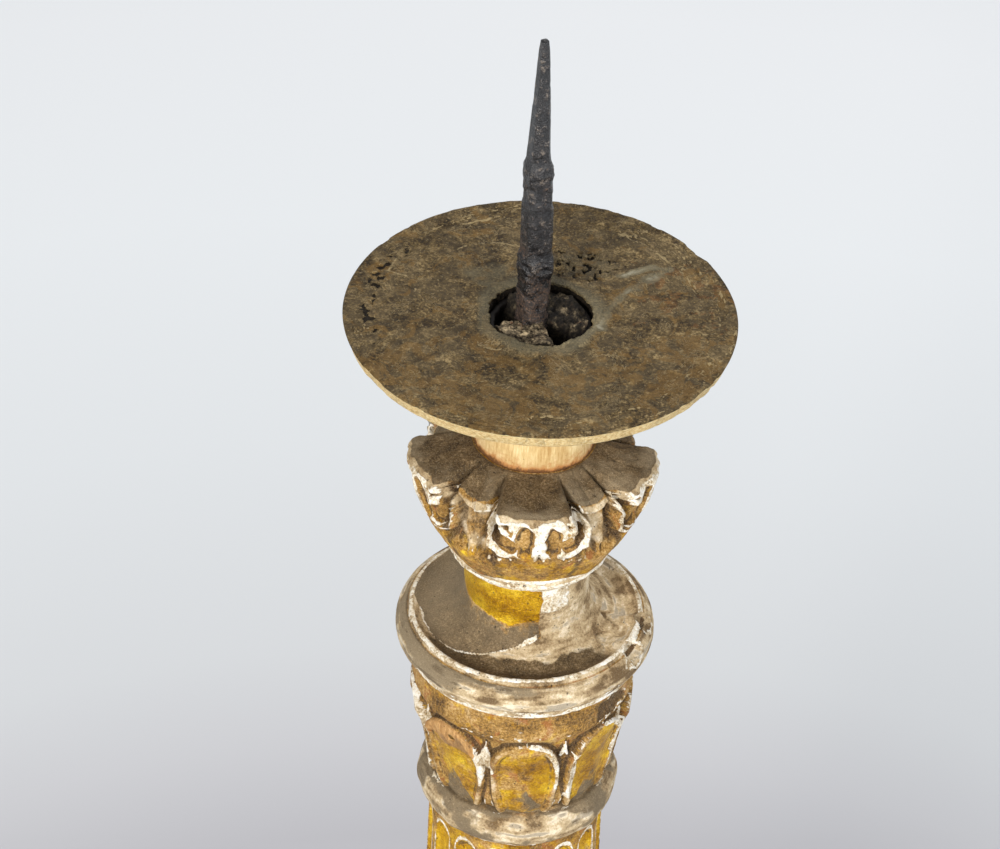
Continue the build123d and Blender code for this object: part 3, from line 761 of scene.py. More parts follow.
def pan_post(material):
    """The bare turned post, with tool marks, a drying crack and a dark stain where dust lies at its foot, a
    painted shadow just under the pan, and painted shade, nearly black, inside the socket and on its lip.
    """
    points = outline(
        (17.0, PAN_UNDER - 21.5), (16.6, PAN_UNDER + 2.6), (18.2, PAN_UNDER + 2.9), (18.3, PAN_UNDER),
        (26.4, PAN_UNDER - 0.1), (26.4, PAN_UNDER - 2.5), (22.6, POST_FOOT + 34, 21.6, POST_FOOT + 18),
        (22.2, POST_FOOT + 0.1),
    )
    angle, radius, height = turned(points, 400)
    lip = (radius < 19) & (height > PAN_UNDER)
    radius = radius + lip * (0.45 * noise(place(angle, radius, height), 3.0, 53, 3) - 0.5)
    tool = 0.05 * np.sin(height * 2.1) + 0.04 * noise(space(height, 0, 0), 1.1, 51, 2)
    across = centred(angle - 10 + 2 * np.sin(height / 6))
    crack = smooth(0.9, 0.2, np.abs(across)) * smooth(POST_FOOT + 12, POST_FOOT + 20, height)
    points = place(angle, radius + tool - 0.5 * crack * (radius > 20), height)
    up = height - POST_FOOT + 1.6 * noise(points, 6.0, 52, 3)
    dusty = 0.35 * smooth(11, 2, up) + 0.65 * smooth(3.5, 0.3, up)
    # Painted shade: the socket's wall and lip nearly black.
    painted_socket_shade = 2.0 * smooth(21.0, 20.0, radius) * smooth(-1, 1, height - PAN_UNDER + 22)
    # Painted shadow: a dark band just under the pan.
    painted_shadow_under_pan = 0.6 * smooth(1.6, 0.4, PAN_UNDER - height)
    stain = np.maximum(np.maximum(dusty, painted_socket_shade), crack + painted_shadow_under_pan)
    return dress(grid_object("pan_post", points, {"stain": stain}), "pan_post", material)


def pool(x, y, x0, y0, rx, ry, lean=0.0):
    """How far inside a leaning oval each point is: above 0 inside, and below 0 outside."""
    c, s = math.cos(lean), math.sin(lean)
    u, v = (x - x0) * c + (y - y0) * s, -(x - x0) * s + (y - y0) * c
    return (1 - np.hypot(u / rx, v / ry)) * min(rx, ry)


def off_centre(angle, centres):
    """The signed angle from the nearest of some centres."""
    away = centred(angle[..., None] - np.array(centres))
    nearest = np.argmin(np.abs(away), axis=-1)
    return np.take_along_axis(away, nearest[..., None], axis=-1)[..., 0]


def capital(material):
    """The carved capital: broad leaves with lobed hollows, narrow leaves set back between them, a ring."""
    lip = POST_FOOT - 2.0
    band = CAPITAL_FOOT + 8.0
    wide = 46.6
    leaves, leaf_half = [0, 70, 144, 215, 287], 22
    points = outline(
        (20.0, POST_FOOT), (23.5, POST_FOOT), (41.0, lip - 0.2), (45.2, lip - 1.6, wide, lip - 5.0),
        (44.4, lip - 15.0, 41.6, lip - 22.0), (37.5, lip - 31.0, 32.2, band + 0.3), (30.0, band),
        (30.9, band - 1.4, 30.2, band - 3.0), (29.7, band - 3.3), (30.4, band - 4.6, 29.4, band - 6.2),
        (28.4, CAPITAL_FOOT + 1.0), (28.0, CAPITAL_FOOT), (20.0, CAPITAL_FOOT), spacing=0.42,
    )
    angle, radius, height = turned(points, 640)
    below = lip - height
    spot = place(angle, 42.0, height)
    wander = 1.3 * noise(spot, 11.0, 61, 3) + 0.5 * noise(spot, 3.0, 62, 2)
    slant = 4.5 * smooth(-2, 9, below)
    turn = off_centre(angle - slant, leaves) + wander
    side = np.abs(turn)
    carved = (height > band + 0.2) & (radius > 23)
    edge_at = leaf_half + 4 * smooth(1, 6, below)
    narrow = smooth(edge_at - 0.5, edge_at + 0.5, side)
    notch = smooth(4.2, 0.2, np.abs(side - leaf_half))
    scallop = np.abs(np.sin(np.radians(side * 11))) * smooth(6, 18, side)
    jagged = np.abs(noise(place(angle, 40, 0), 9.0, 67, 3))
    rim_radius = wide + 0.4 - 0.0030 * np.minimum(side, leaf_half) ** 2 - 6.5 * narrow
    rim_radius = rim_radius - 8.0 * notch - 0.8 * scallop - 1.6 * jagged
    reach = np.clip((radius - 24) / (wide - 24), 0, 1)
    radius = radius - reach * (wide - rim_radius) * smooth(23, 3, below) * carved
    x, y = np.radians(side) * 45.0, below
    inner = pool(x, y, 5.8, 12.5, 3.9, 9.2, -0.08)
    outer = pool(x, y, 13.4, 13.4, 6.8, 4.3, -0.72)
    hollow = np.maximum(inner, outer)
    leaf = np.maximum(smooth(-3.6, -2.4, hollow) * (1 - narrow), smooth(5.5, 3.5, below))
    tongue = smooth(-0.8, 1.2, 9.5 - 0.35 * below - np.abs(side - 36)) * narrow
    lobes = smooth(-0.3, 1.4, hollow) * (1 - narrow)
    on_face = smooth(0.5, 3.5, below) * smooth(25, 19, below)
    recess = (1 - leaf) * (1 - 0.55 * tongue)
    radius = radius - carved * on_face * (2.6 * lobes + 5.4 * recess)
    tip = smooth(-1.8, 0.2, below) * smooth(6.5, 4.5, below) * smooth(36, 39, radius)
    height = height - carved * (reach * (0.8 * narrow + 0.003 * side**2) + 2.2 * notch * reach * (below < 2))
    height = height + carved * 0.35 * noise(spot, 6.0, 66, 3) * (below < 0.5) * smooth(24, 28, radius)
    points = place(angle, radius, height)

    def marks(points, worn):
        """Gesso on the leaves' ribs, dust on their flat tops, dirt and painted shade behind them, and painted
        shade on the capital's sides.
        """
        patchy = noise(points, 10.0, 63, 4)
        rim = smooth(-3.0, -2.3, hollow) * smooth(0.3, -0.4, hollow) * (1 - narrow) * smooth(1.0, 2.5, below)
        rim = rim * smooth(24, 20, below)
        vein = smooth(1.8, 1.0, x - 0.07 * below) * smooth(3, 6, below) * smooth(25, 22, below)
        ring = smooth(band + 0.6, band, height)
        flat = smooth(1.6, 0.2, below + 0.8 * patchy) * carved
        lower = smooth(22, 26, below) * (1 - ring)
        worn["gesso"] += (0.40 + 0.60 * patchy) * rim + 0.65 * vein - 0.9 * flat - 0.45 * recess * on_face
        worn["gesso"] += 0.20 * ring - 0.40 * lower - 0.45 * lobes + (0.5 * patchy - 0.1) * tip * narrow
        # Painted shade: less white gesso towards the capital's sides, so they read darker than its front.
        painted_side_shade = 0.25 * smooth(30, 45, np.abs(centred(angle)))
        worn["gesso"] -= 0.30 * narrow * (1 - ring) + painted_side_shade * (1 - ring)
        worn["cream"] = 0.75 * tip * narrow + 0.65 * tip + 0.75 * ring + 0.3 * rim - 0.2 * flat
        worn["cream"] += (0.45 + 0.30 * patchy) * on_face * narrow
        worn["bare"] += 0.35 * tip * narrow * smooth(0.2, -0.4, patchy)
        worn["dust"] += 0.95 * flat - 0.40 * (1 - flat)
        worn["pale"] = flat * smooth(-0.1, 0.7, noise(points, 15.0, 68, 4) + 0.5 * smooth(36, 44, radius))
        # Dirt and painted shade in the recesses, and painted shade in the deep notches between the leaves.
        worn["dirt"] += 0.35 * recess * on_face * (1 - 0.6 * tongue) + 0.12 * lower - 0.3 * ring
        worn["dirt"] += 0.6 * notch * reach * (1 - ring)
        worn["leaf"] += 0.12 * lobes + 0.10 * lower - 0.10

    return gilded_piece("capital", points, material, marks=marks, seed=70, rough=0.28, chips=0.5)


def collar(material):
    """The gilt neck, the dusty dish round it with painted shade on its front inner slope, and the worn
    moulded rim with its chips.
    """
    foot = COLLAR_FOOT
    points = outline(
        (18.0, CAPITAL_FOOT - 0.1), (23.6, CAPITAL_FOOT - 0.1), (23.4, foot + 33.5),
        (25.6, foot + 22.0, 33.0, foot + 16.4), (38.0, foot + 15.8, 41.4, foot + 18.0), (42.6, foot + 18.4),
        (43.7, foot + 17.4), (43.9, foot + 16.2), (45.0, foot + 16.0),
        (48.4, foot + 10.2, 46.2, foot + 5.2), (44.6, foot + 4.4), (44.4, foot + 3.6), (44.0, foot + 0.6),
        (43.2, foot), (30.0, foot), spacing=0.5,
    )
    angle, radius, height = turned(ease(points))
    spot = place(angle, radius, height)
    turn = centred(angle)
    tool = 0.06 * np.sin(height * 4.2 + 0.5 * noise(spot, 12.0, 80, 2)) * smooth(43, 45, radius)
    ragged = 0.35 * noise(spot, 4.0, 82, 3)

    def chip(at, wide, up, tall):
        """A ragged oval chip at an angle and a height over the foot."""
        return smooth(1.0, 0.5, np.hypot((turn - at) / wide, (height - foot - up) / tall) + ragged)

    lost = np.maximum(chip(63, 8, 15.0, 4.0), chip(84, 6, 16.0, 3.0))
    lost = np.maximum(lost, 0.5 * chip(-52, 5, 6.0, 3.0))
    radius = radius + tool - 2.6 * lost
    points = place(angle, radius, height)

    def marks(points, worn):
        """Leaf on the neck, paint with a white edge and cream wood in the dish, and a streaked rim."""
        in_dish = smooth(foot + 34, foot + 31, height) * smooth(42.4, 41.4, radius) * (height > foot + 12)
        neck = smooth(foot + 24.5, foot + 28, height)
        bead = smooth(44.2, 44.9, radius)
        rim = smooth(41.2, 42.0, radius) * smooth(44.4, 43.7, radius) * smooth(foot + 15, foot + 16, height)
        fillet = smooth(foot + 4.9, foot + 4.2, height)
        moulding = bead + rim + fillet
        wander = noise(points, 9.0, 81, 4)
        away = 25 + 14 * smooth(15, -80, turn) + 8 * smooth(-80, -115, turn) + 1.1 * wander
        painted = smooth(-0.3, 0.3, away - radius) * smooth(16, 12, turn)
        edge = smooth(0.9, 0.35, np.abs(away - radius)) * smooth(15, 10, turn) * smooth(-98, -90, turn)
        gilded = smooth(-112, -80, turn) * smooth(17, 9, turn + 7 * wander)
        gilded = gilded * smooth(foot + 26.5, foot + 29.5, height + 2.0 * wander - 0.05 * np.abs(turn + 12))
        drips = noise(space(turn * 0.5, 0.12 * height, 0), 3.0, 83, 2)
        white = smooth(11, 15, turn + 3 * wander) * smooth(50, 40, turn + 4 * wander)
        white = white * smooth(38 + 9 * drips, 31 + 9 * drips, radius)
        scar = smooth(3.0, 2.0, np.abs(turn - 57)) * smooth(30, 27, radius)
        worn["dust"] += in_dish * (1.1 * painted - 0.6) - 1.6 * gilded - 0.8 * neck * (turn > 14)
        worn["dust"] -= 0.5 * moulding
        worn["gesso"] += 0.75 * white * (radius < 42) - 0.35 * neck - 0.5 * in_dish + 0.95 * edge * in_dish
        worn["gesso"] += (0.25 + 0.3 * wander) * rim + 0.3 * smooth(16, 9, np.abs(turn - 47)) * bead
        worn["gesso"] += (0.15 * wander - 0.25) * bead + (0.40 + 0.3 * wander) * fillet
        past_gold = (1 - gilded) * neck * smooth(8, 16, turn)
        worn["cream"] = bead + 0.8 * fillet + 0.95 * in_dish * (1 - painted) + 0.9 * rim + 0.9 * past_gold
        worn["leaf"] += 1.1 * gilded - 0.3 * (1 - gilded)
        # Dark inside the chips: dirt and painted shade.
        worn["dirt"] += 0.9 * lost * smooth(44, 46, radius + 2.6 * lost) - 0.6 * gilded - 0.5 * moulding
        worn["dirt"] += scar
        # Painted shade on the dish's front inner slope near its rim, laid in through the dust mark.
        painted_front_shade = in_dish * (1 - painted) * smooth(29, 34, radius + 2 * wander)
        painted_front_shade = painted_front_shade * smooth(80, 30, np.abs(turn + 5))
        smear = noise(space(np.radians(turn) * 14, height * 1.4, 0), 11.0, 84, 5)
        smear = smear + 0.35 * smooth(62, 20, np.abs(turn + 40)) - 0.3 * smooth(0, 60, turn)
        worn["dust"] += bead * (0.45 + 0.75 * smear) * smooth(foot + 5, foot + 7, height) + 1.25 * painted_front_shade
        worn["pale"] = in_dish * painted * (0.40 + 0.5 * smooth(-40, -95, turn)) + 1.2 * bead
        worn["streak"] = np.maximum(1.1 * bead, 0.8 * in_dish * (1 - 0.6 * painted))

    return gilded_piece("collar", points, material, marks=marks, seed=90, rough=0.10, chips=0.5)


def leaf_cup(material):
    """The cup: a plain gilt band, arched water leaves with raised rims, darts between them, and a ring."""
    foot, top = CUP_FOOT, COLLAR_FOOT
    ring = foot + 15.0
    leaf_height, pitch, widest = 41.0, ROUND / 8, 42.2
    points = outline(
        (30.0, top), (41.6, top), (41.9, top - 14), (38.6, top - 30, 34.6, ring + 4), (32.6, ring),
        (34.6, ring - 0.2), (38.1, foot + 5.6, 35.8, foot + 0.4), (35.4, foot), (22.0, foot), spacing=0.5,
    )
    angle, radius, height = turned(ease(points, 1))
    spot = place(angle, 38.0, height)
    turn = centred(angle - 4, pitch) + 1.2 * noise(spot, 14.0, 100, 2)
    rise = (height - ring) / leaf_height
    arch = np.clip((rise - 0.55) / 0.47, 0, 1) ** 2.4
    half = 20.5 * np.sqrt(np.clip(1 - arch, 0, 1)) * smooth(-1.2, 0.5, rise)
    inside = half - np.abs(turn)
    leafy = smooth(-0.6, 0.9, inside) * (rise > 0) * (rise < 1.06)
    cheek = smooth(2.2, 5.5, inside)
    curl = smooth(0.62, 0.98, rise)
    leaf_rise = leafy * (1.6 + 2.6 * curl) - cheek * (1.5 + 1.4 * curl) * (rise > 0)
    vein = smooth(9, 0, np.abs(turn)) * cheek * 0.7
    dart_half = 4.0 * smooth(0.98, 0.70, rise)
    dart = smooth(-0.8, 0.8, dart_half - np.abs(np.abs(turn) - pitch / 2)) * (rise > 0) * (rise < 0.96)
    between = (1 - leafy) * (rise > 0) * smooth(1.12, 0.95, rise)
    radius = radius + leaf_rise + vein - 2.4 * between * (1 - 0.7 * dart)
    radius = np.minimum(radius, widest)
    from_break = np.hypot(centred(angle - 54) * 0.7 / 9.5, (height - top + 8.0) / 6.0)
    broken = smooth(1.0, 0.6, from_break + 0.35 * noise(spot, 5.0, 104, 3))
    from_hole = np.hypot(centred(angle + 38) * 0.7, height - ring - 36.5)
    nail_hole = smooth(1.8, 1.2, from_hole) * (height > ring)
    radius = radius - 1.3 * broken - 1.6 * nail_hole
    points = place(angle, radius, height)

    def marks(points, worn):
        """Leaf on the leaves' cheeks, gesso on their right rims, dust low on them and on the ring."""
        band = smooth(0.98, 1.08, rise)
        rims = leafy * (1 - cheek)
        on_ring = smooth(ring + 0.6, ring - 0.6, height)
        patchy = noise(points, 9.0, 103, 3)
        broad_rim = leafy * smooth(8, 4, inside)
        right_rim = 0.95 * smooth(-8, 6, turn) * smooth(0.2, 0.5, rise) * broad_rim
        white_dart = (0.3 + 0.4 * patchy) * dart * smooth(0.45, 0.75, rise)
        worn["gesso"] += right_rim - 0.75 * rims + 0.6 * patchy * broad_rim
        worn["gesso"] += 1.4 * smooth(3.5, 2, np.abs(centred(angle - 33))) * (rise > 0.15) * (rise < 0.8)
        worn["gesso"] -= 0.9 * cheek
        worn["gesso"] += 0.10 * band * patchy
        worn["gesso"] += (0.15 * patchy - 0.1) * on_ring + white_dart
        worn["cream"] = 0.70 * on_ring + 0.30 * band + 0.45 * rims
        worn["streak"] = 0.8 * on_ring
        worn["dust"] += -0.30 * on_ring - 0.35 * (1 - on_ring) + 0.15 * band
        bright = 0.26 - 0.3 * smooth(-35, -55, centred(angle))
        worn["leaf"] += bright * cheek * (rise > 0) + 0.05 * band
        worn["dust"] += 0.10 * cheek * (1 + 2 * patchy)
        flame = cheek * (rise > 0) * smooth(1.5, -1.5, np.abs(turn) + 26 * rise - 13 + 4 * patchy)
        worn["dust"] += 0.75 * flame + 0.60 * on_ring * (1 + patchy)
        worn["pale"] = 0.45 * flame + 0.8 * on_ring
        left_tip = smooth(0.72, 0.84, rise + 0.06 * patchy) * leafy
        left_tip = left_tip * smooth(20, 15, np.abs(centred(angle + 41)))
        worn["bare"] += 0.9 * left_tip
        worn["gesso"] -= 0.6 * left_tip
        # Dirt and painted shade between the leaves, in the broken patch and in the nail hole.
        worn["dirt"] += 0.16 * between + 0.04 * band - 0.2 * on_ring + 0.9 * broken + nail_hole
        worn["bare"] -= nail_hole
        worn["gesso"] -= 0.6 * broken

    return gilded_piece("leaf_cup", points, material, marks=marks, seed=110, rough=0.18, chips=0.5)


def column(material):
    """The fluted column, gilded, with the gesso showing along the fillets and in worn patches."""
    foot, top = COLUMN_FOOT, CUP_FOOT
    pitch = ROUND / 16  # from flute to flute
    points = [(20, top), (33.2, top), (33.4, top - 1), (36.2, foot + 1), (36.0, foot), (20, foot)]
    angle, radius, height = turned(ease(outline(*points, spacing=0.8), 1), 720)
    turn = (np.mod(angle, pitch) - pitch / 2) * np.pi / 180 * radius
    end = np.maximum(np.maximum(height - (top - 12.0), (foot + 17.0) - height), 0)
    inside = 1 - np.hypot(turn, end) / 4.8
    flute = np.sqrt(np.clip(1 - (1 - np.clip(inside, 0, 1)) ** 2, 0, 1)) * 2.5
    points = place(angle, radius - flute, height)

    def marks(points, worn):
        """More leaf in the flutes than on the fillets between them, and worn patches that run upright."""
        patch = noise(points, 26.0, 121, 4)
        upright = noise(points * [1, 1, 0.22], 9.0, 123, 4)
        worn["gesso"] += 0.20 * patch + 0.25 * upright * (flute < 0.2) - 0.08
        worn["leaf"] += 0.50 + 0.25 * upright - 0.30 * (flute < 0.1)
        worn["dust"] -= 0.2
        worn["dirt"] += 0.10 * smooth(0.0, 0.5, noise(points * [1, 1, 0.3], 30.0, 122, 3)) - 0.1

    return gilded_piece("column", points, material, marks=marks, seed=120, rough=0.12, chips=0.6)


def column_foot(material):
    """The ring moulding under the column."""
    foot, top = RING_FOOT, COLUMN_FOOT
    points = outline(
        (25, top), (38.2, top), (38.2, top - 3), (42.2, foot + 17.5, 37.2, foot + 12),
        (33.2, foot + 8, 35.8, foot + 3), (34.0, foot), (20, foot),
    )
    return gilded_piece("column_foot", place(*turned(ease(points))), material, seed=130)


def lower_vase(material):
    """The vase at the foot of the stem, wrapped in pointed leaves with raised rims and central veins."""
    foot, top = VASE_FOOT, RING_FOOT
    points = outline(
        (20, top), (34.2, top), (33.0, top - 4), (38.3, foot + 86), (47.2, foot + 70, 46.0, foot + 60),
        (37.0, foot + 40, 27.0, foot + 22), (22.4, foot + 6), (22.0, foot), (16, foot),
    )
    angle, radius, height = turned(ease(points))
    pitch, leaf_height, widest = ROUND / 8, 66.0, 50.0
    turn = centred(angle + pitch / 2, pitch) + 1.0 * noise(place(angle, 40.0, height), 14.0, 141, 2)
    rise = (height - foot - 3) / leaf_height
    half = 21.5 * np.clip(1 - np.clip((rise - 0.45) / 0.55, 0, 1) ** 1.8, 0, 1) * (rise > 0)
    inside = half - np.abs(turn)
    leafy = smooth(-0.5, 1.0, inside)
    cheek = smooth(2.5, 6.5, inside)
    vein = smooth(4.5, 0.6, np.abs(turn)) * leafy
    ribs = 0.35 * np.sin((rise * 60 - np.abs(turn) * 1.1)) * cheek
    radius = radius + 2.9 * leafy - 1.8 * cheek + 1.2 * vein + ribs
    points = place(angle, np.minimum(radius, widest), height)

    def marks(_, worn):
        """Gesso on the leaves' rims and veins, leaf on their cheeks, and dirt with painted shade between
        them.
        """
        worn["gesso"] += 0.25 * leafy * (1 - cheek) - 0.35 * cheek
        # Dirt and painted shade between the leaves.
        worn["dirt"] += 0.25 * (1 - leafy) * (rise > 0) * (rise < 1.1)
        worn["leaf"] += 0.15 * cheek

    return gilded_piece("lower_vase", points, material, marks=marks, seed=140, rough=0.15)


def vase_knop(material):
    """The flattened ring under the vase."""
    foot, top = KNOP_FOOT, VASE_FOOT
    points = outline(
        (16, top), (24.8, top), (26.4, top - 2.5), (35.3, foot + 9, 26.4, foot + 2.5),
        (24.8, foot), (16, foot),
    )
    return gilded_piece("vase_knop", place(*turned(ease(points))), material, seed=150)


def base_neck(material):
    """The turned foot of the stem."""
    foot, top = NECK_FOOT, KNOP_FOOT
    points = outline(
        (16, top), (24.3, top), (23.4, top - 3), (28.0, foot + 12, 44.3, foot + 5.5), (47.2, foot + 4),
        (46.8, foot), (20, foot),
    )
    return gilded_piece("base_neck", place(*turned(ease(points))), material, seed=160)


# The three-sided base

CORNER_FLAT = 26.0  # across each cut corner
OFF_SIDE = 999.0  # how far along a side a corner's points count as, so that no carving reaches them


def plan(corner, hollow, count=600):
    """Points round the base's plan, and each one's distance along its side from the side's middle."""
    edges = []
    for number in range(3):
        turn, after = math.radians(90 + 120 * number), math.radians(210 + 120 * number)
        ends = []
        for angle, hand in ((turn, -1), (turn, 1), (after, -1)):
            forward = np.array([math.cos(angle), math.sin(angle)])
            sideways = np.array([-math.sin(angle), math.cos(angle)])
            ends.append(corner * forward + hand * CORNER_FLAT / 2 * sideways)
        middle = (ends[1] + ends[2]) / 2
        middle = middle * (1 - hollow / np.linalg.norm(middle))
        share = np.arange(1, 31) / 30
        edges.append((ends[0] + (ends[1] - ends[0]) * share[:, None], np.full(30, OFF_SIDE)))
        side = arc(ends[1], middle, ends[2], 0.5)
        edges.append((side, np.linspace(-0.5, 0.5, len(side)) * np.linalg.norm(ends[2] - ends[1])))
    points = np.concatenate([edge[0] for edge in edges])
    along = np.concatenate([edge[1] for edge in edges])
    run = np.concatenate([[0], np.cumsum(np.linalg.norm(np.diff(points, axis=0), axis=1))])
    even = np.linspace(0, run[-1], count, endpoint=False)
    spread = np.stack([np.interp(even, run, points[:, axis]) for axis in (0, 1)], axis=-1)
    for _ in range(2):
        spread = (np.roll(spread, 1, axis=0) + 2 * spread + np.roll(spread, -1, axis=0)) / 4
    return spread, np.interp(even, run, along)


def slab(name, steps, hollow, material, seed, carve=None):
    """A three-sided moulding. Its outline gives the corner's distance from the axis at each height."""
    rows = ease(outline(*steps, spacing=0.9), 1)
    plans = [plan(corner, hollow) for corner, _ in rows]
    points = np.stack([np.insert(ring, 2, z, axis=1) for (ring, _), (_, z) in zip(plans, rows)])
    along = np.stack([distances for _, distances in plans])
    if carve:
        points = points - outward(points) * carve(along, points[..., 2])[..., None]
    return gilded_piece(name, points, material, seed=seed, rough=0.15, chips=0.8)


def base_top_plate(material):
    """The moulded plate over the block, with hollow sides."""
    foot, top, edge = PLATE_FOOT, NECK_FOOT, 84.0
    steps = ((50, top), (edge - 6, top), (edge - 0.5, top - 2.0, edge - 0.3, foot + 8), (edge, foot + 5))
    steps += ((edge - 4.5, foot + 3.5, edge - 8.2, foot), (50, foot))
    return slab("base_top_plate", steps, 9.0, material, 170)


def base_plinth(material):
    """The broad moulded plinth under the block."""
    foot, top, edge = PLINTH_FOOT, BLOCK_FOOT, 124.0
    steps = ((70, top), (edge - 12, top), (edge - 10.5, foot + 11.5, edge - 4, foot + 10), (edge, foot + 7))
    steps += ((edge - 2, foot), (70, foot))
    return slab("base_plinth", steps, 14.0, material, 180)


def base_block(material):
    """The block, which spreads towards its foot and has a sunk panel on each side."""
    foot, top = BLOCK_FOOT, PLATE_FOOT
    border = 8

    def panel(along, height):
        """How deep each point is sunk, with a bevel inside the border."""
        half = 30 + 14 * (top - height) / (top - foot)
        inside = np.minimum(half - np.abs(along), np.minimum(top - border - height, height - foot - border))
        return 2.0 * smooth(0, 2.5, inside) * (inside > 0)

    return slab("base_block", ((40, top), (66, top), (92, foot), (40, foot)), 9.0, material, 190, panel)


def corner_scroll(name, turn, material, seed):
    """A scroll bracket: a channelled band down its front, and two volutes on each side."""
    foot, top = BLOCK_FOOT, PLATE_FOOT
    width, edge = 22.0, 0.3
    shape = outline(
        (40.0, foot + edge), (109.5, foot + edge), (117.4, foot + 14, 104.0, foot + 24),
        (90, foot + 28, 82.0, foot + 46), (86, foot + 60, 75.5, top - edge), (36.0, top - edge),
        spacing=0.7,
    )
    shape = ease(shape)
    step = np.gradient(shape, axis=0)
    normal = np.stack([step[:, 1], -step[:, 0]], axis=-1) / np.linalg.norm(step, axis=1, keepdims=True)
    in_front = shape[:, 0] > 60
    rows = []
    for share in np.linspace(-1, 1, 61):
        side = abs(share)
        sunk = 1.5 * smooth(0.66, 0.52, side) - 0.7 * smooth(0.3, 0.0, side) + 1.6 * smooth(0.9, 1.0, side)
        moved = shape - normal * (sunk * in_front)[:, None]
        rows.append(space(share * width / 2, moved[:, 0], moved[:, 1]))

    def volute(side, reach, rise, radius, start):
        """A raised spiral on the bracket's side, that coils in to a round eye."""
        turns, facets = 1.75, 14
        along = np.linspace(0, 1, 150)[:, None]
        round_it = (np.arange(facets) * 2 * math.pi / facets)[None]
        coil = math.radians(start) - 2 * math.pi * turns * along
        away = radius * (1 - 0.93 * along**0.8)
        thick = 1.35 * smooth(0, 0.04, along) * (1 - 0.35 * along) + 1.2 * smooth(0.93, 0.98, along)
        thick = thick * smooth(1.0, 0.985, along)
        out = away + thick * np.cos(round_it)
        across = side * (width / 2 - 0.6 + 1.2 * thick * np.sin(round_it))
        ridge = space(across, reach + out * np.cos(coil), rise + out * np.sin(coil))
        ridge = ridge if side < 0 else ridge[:, ::-1]
        worn = worn_marks(ridge, seed + 5)
        return grid_object("volute", spin(ridge, turn), {**worn, "gesso": worn["gesso"] + 0.15})

    body, chip = weather(spin(np.stack(rows)[::-1], turn), 0.12, 0.6, seed)
    marks = worn_marks(body, seed)
    marks["gesso"] = marks["gesso"] + 0.5 * chip
    pieces = [grid_object(name, body, marks)]
    for side in (-1, 1):
        pieces.append(volute(side, 105.0, foot + 12.2, 10.2, 200))
        pieces.append(volute(side, 78.6, foot + 62.0, 6.0, 40))
    return dress(join(pieces, name), name, material)


def ball_foot(name, x, y, material, seed):
    """A turned ball foot."""
    points = outline(
        (5.0, PLINTH_FOOT), (12.4, PLINTH_FOOT), (12.4, PLINTH_FOOT - 2), (9.5, 25.6),
        (16.95, 12.5, 9.0, 0.1), (5.0, 0.1), spacing=0.5,
    )
    grid = place(*turned(ease(points, 1), 240)) + [x, y, 0]
    return gilded_piece(name, grid, material, seed=seed, rough=0.1, chips=0.3)


def oval_boss(name, turn, material, seed):
    """A carved oval boss: a beaded rim round a gadrooned dome, lying on the block's leaning side."""
    share = np.linspace(1, 0.02, 70)[:, None]
    angle = (np.arange(360) / 360 * 2 * np.pi)[None]
    rim = smooth(0.76, 0.80, share) * smooth(1.0, 0.96, share)
    beads = np.abs(np.cos(angle * 18)) ** 0.6
    dome = np.sqrt(np.clip(1 - (share / 0.70) ** 2, 0, 1))
    gadroons = np.abs(np.cos(angle * 7)) * smooth(0.05, 0.3, share) * smooth(0.70, 0.55, share)
    height = 3.0 + rim * (2.2 + 1.4 * beads) + 9.0 * dome + 1.4 * gadroons
    face = space(19 * share * np.cos(angle), 26 * share * np.sin(angle), height)
    under = face[:1] * [1, 1, 0] + [0, 0, -6.0]
    x, y, z = np.moveaxis(np.concatenate([under, face]), -1, 0)
    lean, away = math.radians(9.2), 40.0
    forward = z * math.cos(lean) - y * math.sin(lean)
    upward = z * math.sin(lean) + y * math.cos(lean)
    placed = spin(space(x, -(away + forward), (PLATE_FOOT + BLOCK_FOOT) / 2 + upward), turn)
    return gilded_piece(name, placed[::-1], material, seed=seed, rough=0.1, chips=0.3)


# The stage


def camera():
    """Above and in front, looking down at the pan, and turned a little so that the stem leans."""
    lift, lean, distance = math.radians(38.33), math.radians(2.563), 1442.2
    target = np.array([-12.54, 0, PAN_TOP - 50.98])
    ahead = np.array([0, math.cos(lift), -math.sin(lift)])
    up = np.array([0, math.sin(lift), math.cos(lift)])
    side = math.cos(lean) * np.array([1, 0, 0]) + math.sin(lean) * up
    up = math.cos(lean) * up - math.sin(lean) * np.array([1, 0, 0])
    data = bpy.data.cameras.new("camera")
    data.lens, data.sensor_width = 144.0, 36.0
    data.clip_end = 50.0
    made = bpy.data.objects.new("camera", data)
    facing = Matrix(np.stack([side, up, -ahead], axis=1).tolist()).to_4x4()
    made.matrix_world = Matrix.Translation((target - ahead * distance) * MM) @ facing
    bpy.context.scene.collection.objects.link(made)
    bpy.context.scene.camera = made


def area_light(name, place_at, aim, size, power, colour):
    """A soft round light, in metres and watts."""
    data = bpy.data.lights.new(name, "AREA")
    data.shape, data.size, data.energy, data.color = "DISK", size, power, colour
    made = bpy.data.objects.new(name, data)
    made.location = place_at
    made.rotation_mode = "QUATERNION"
    made.rotation_quaternion = (Vector(aim) - Vector(place_at)).to_track_quat("-Z", "Y")
    bpy.context.scene.collection.objects.link(made)


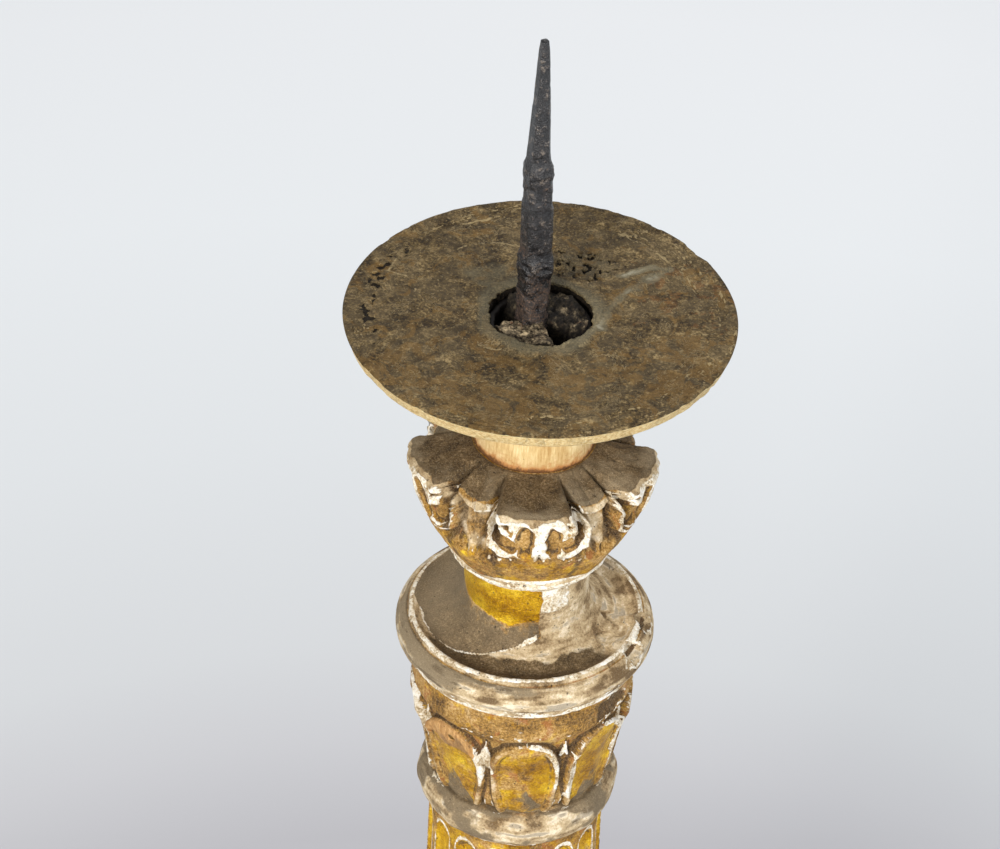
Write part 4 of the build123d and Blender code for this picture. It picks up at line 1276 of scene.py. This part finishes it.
def studio():
    """A pale floor that glows a little far off, like a studio's sweep, with painted shade darkening it near
    the candlestick, a pale sky, and large soft lights.
    """
    p = Paint("studio_floor")
    away = p.node("VectorMath", operation="LENGTH")
    p.feed(away.inputs[0], p.place)
    away = away.outputs["Value"]
    # Painted shade: the floor darker near the candlestick and lighter far off.
    painted_floor_shade = p.ramp(
        p.times(away, 0.5),
        (0.12, 182, 182, 186), (0.25, 186, 186, 191), (0.29, 203, 204, 208), (0.33, 214, 217, 220),
        (0.43, 227, 231, 234), (0.55, 238, 242, 245), (0.68, 244, 247, 250),
    )
    glow = p.times(p.step(away, 1.3, 4.5), 0.42)
    floor_material = p.finish(painted_floor_shade, 0.9)
    shader = p.tree.nodes["Principled BSDF"]
    p.feed(shader.inputs["Emission Color"], shade(236, 239, 243))
    p.feed(shader.inputs["Emission Strength"], glow)
    mesh = bpy.data.meshes.new("floor")
    half = 12.0
    corners = [(-half, -half, 0), (half, -half, 0), (half, half, 0), (-half, half, 0)]
    mesh.from_pydata(corners, [], [(0, 1, 2, 3)])
    floor = bpy.data.objects.new("floor", mesh)
    floor.data.materials.append(floor_material)
    bpy.context.scene.collection.objects.link(floor)
    world = bpy.data.worlds.new("pale_sky")
    world.use_nodes = True
    nodes, links = world.node_tree.nodes, world.node_tree.links
    sky = nodes["Background"]
    sky.inputs["Color"].default_value = (0.90, 0.92, 0.95, 1)
    seen = nodes.new("ShaderNodeLightPath").outputs["Is Camera Ray"]
    strength = nodes.new("ShaderNodeMapRange")
    strength.inputs["To Min"].default_value = 0.42
    strength.inputs["To Max"].default_value = 0.90
    links.new(seen, strength.inputs["Value"])
    links.new(strength.outputs["Result"], sky.inputs["Strength"])
    bpy.context.scene.world = world
    aim = (0, 0, 0.65)
    area_light("key", (-1.0, -2.0, 1.6), aim, 1.0, 56, (1.0, 0.97, 0.93))
    area_light("fill", (1.5, -1.5, 1.3), aim, 1.2, 24, (0.97, 0.98, 1.0))
    area_light("back", (0.3, 1.6, 2.3), aim, 1.4, 22, (1.0, 0.98, 0.96))
    bpy.context.scene.view_settings.view_transform = "Standard"


def build():
    """Makes every piece, and gives the plinth's nails, which keep their CAD shape, the iron."""
    gilding = worn_gilding("worn_gilding")
    wood = bare_wood("bare_turned_wood")
    iron = forged_iron("forged_iron")
    pricket(iron)
    splinters(burnt_splinters("burnt_splinters"))
    drip_pan(pan_patina("crazed_pan_paint"))
    pan_post(wood)
    stem = (capital, collar, leaf_cup, column, column_foot, lower_vase, vase_knop, base_neck)
    for make in stem + (base_top_plate, base_block, base_plinth):
        make(gilding)
    for number, (corner, turn) in enumerate((("back", 0), ("left", 120), ("right", 240))):
        corner_scroll(f"corner_scroll_{corner}", turn, gilding, 200 + number)
        low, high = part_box(f"foot_{corner}")
        middle = (low + high) / 2 / MM
        ball_foot(f"foot_{corner}", middle.x, middle.y, gilding, 210 + number)
    for number, (side, turn) in enumerate((("front", 0), ("right", 120), ("left", 240))):
        oval_boss(f"side_ornament_{side}", turn, gilding, 220 + number)
    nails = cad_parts["plinth_nails"]
    nails.data.materials.clear()
    nails.data.materials.append(iron)


camera()
studio()
build()
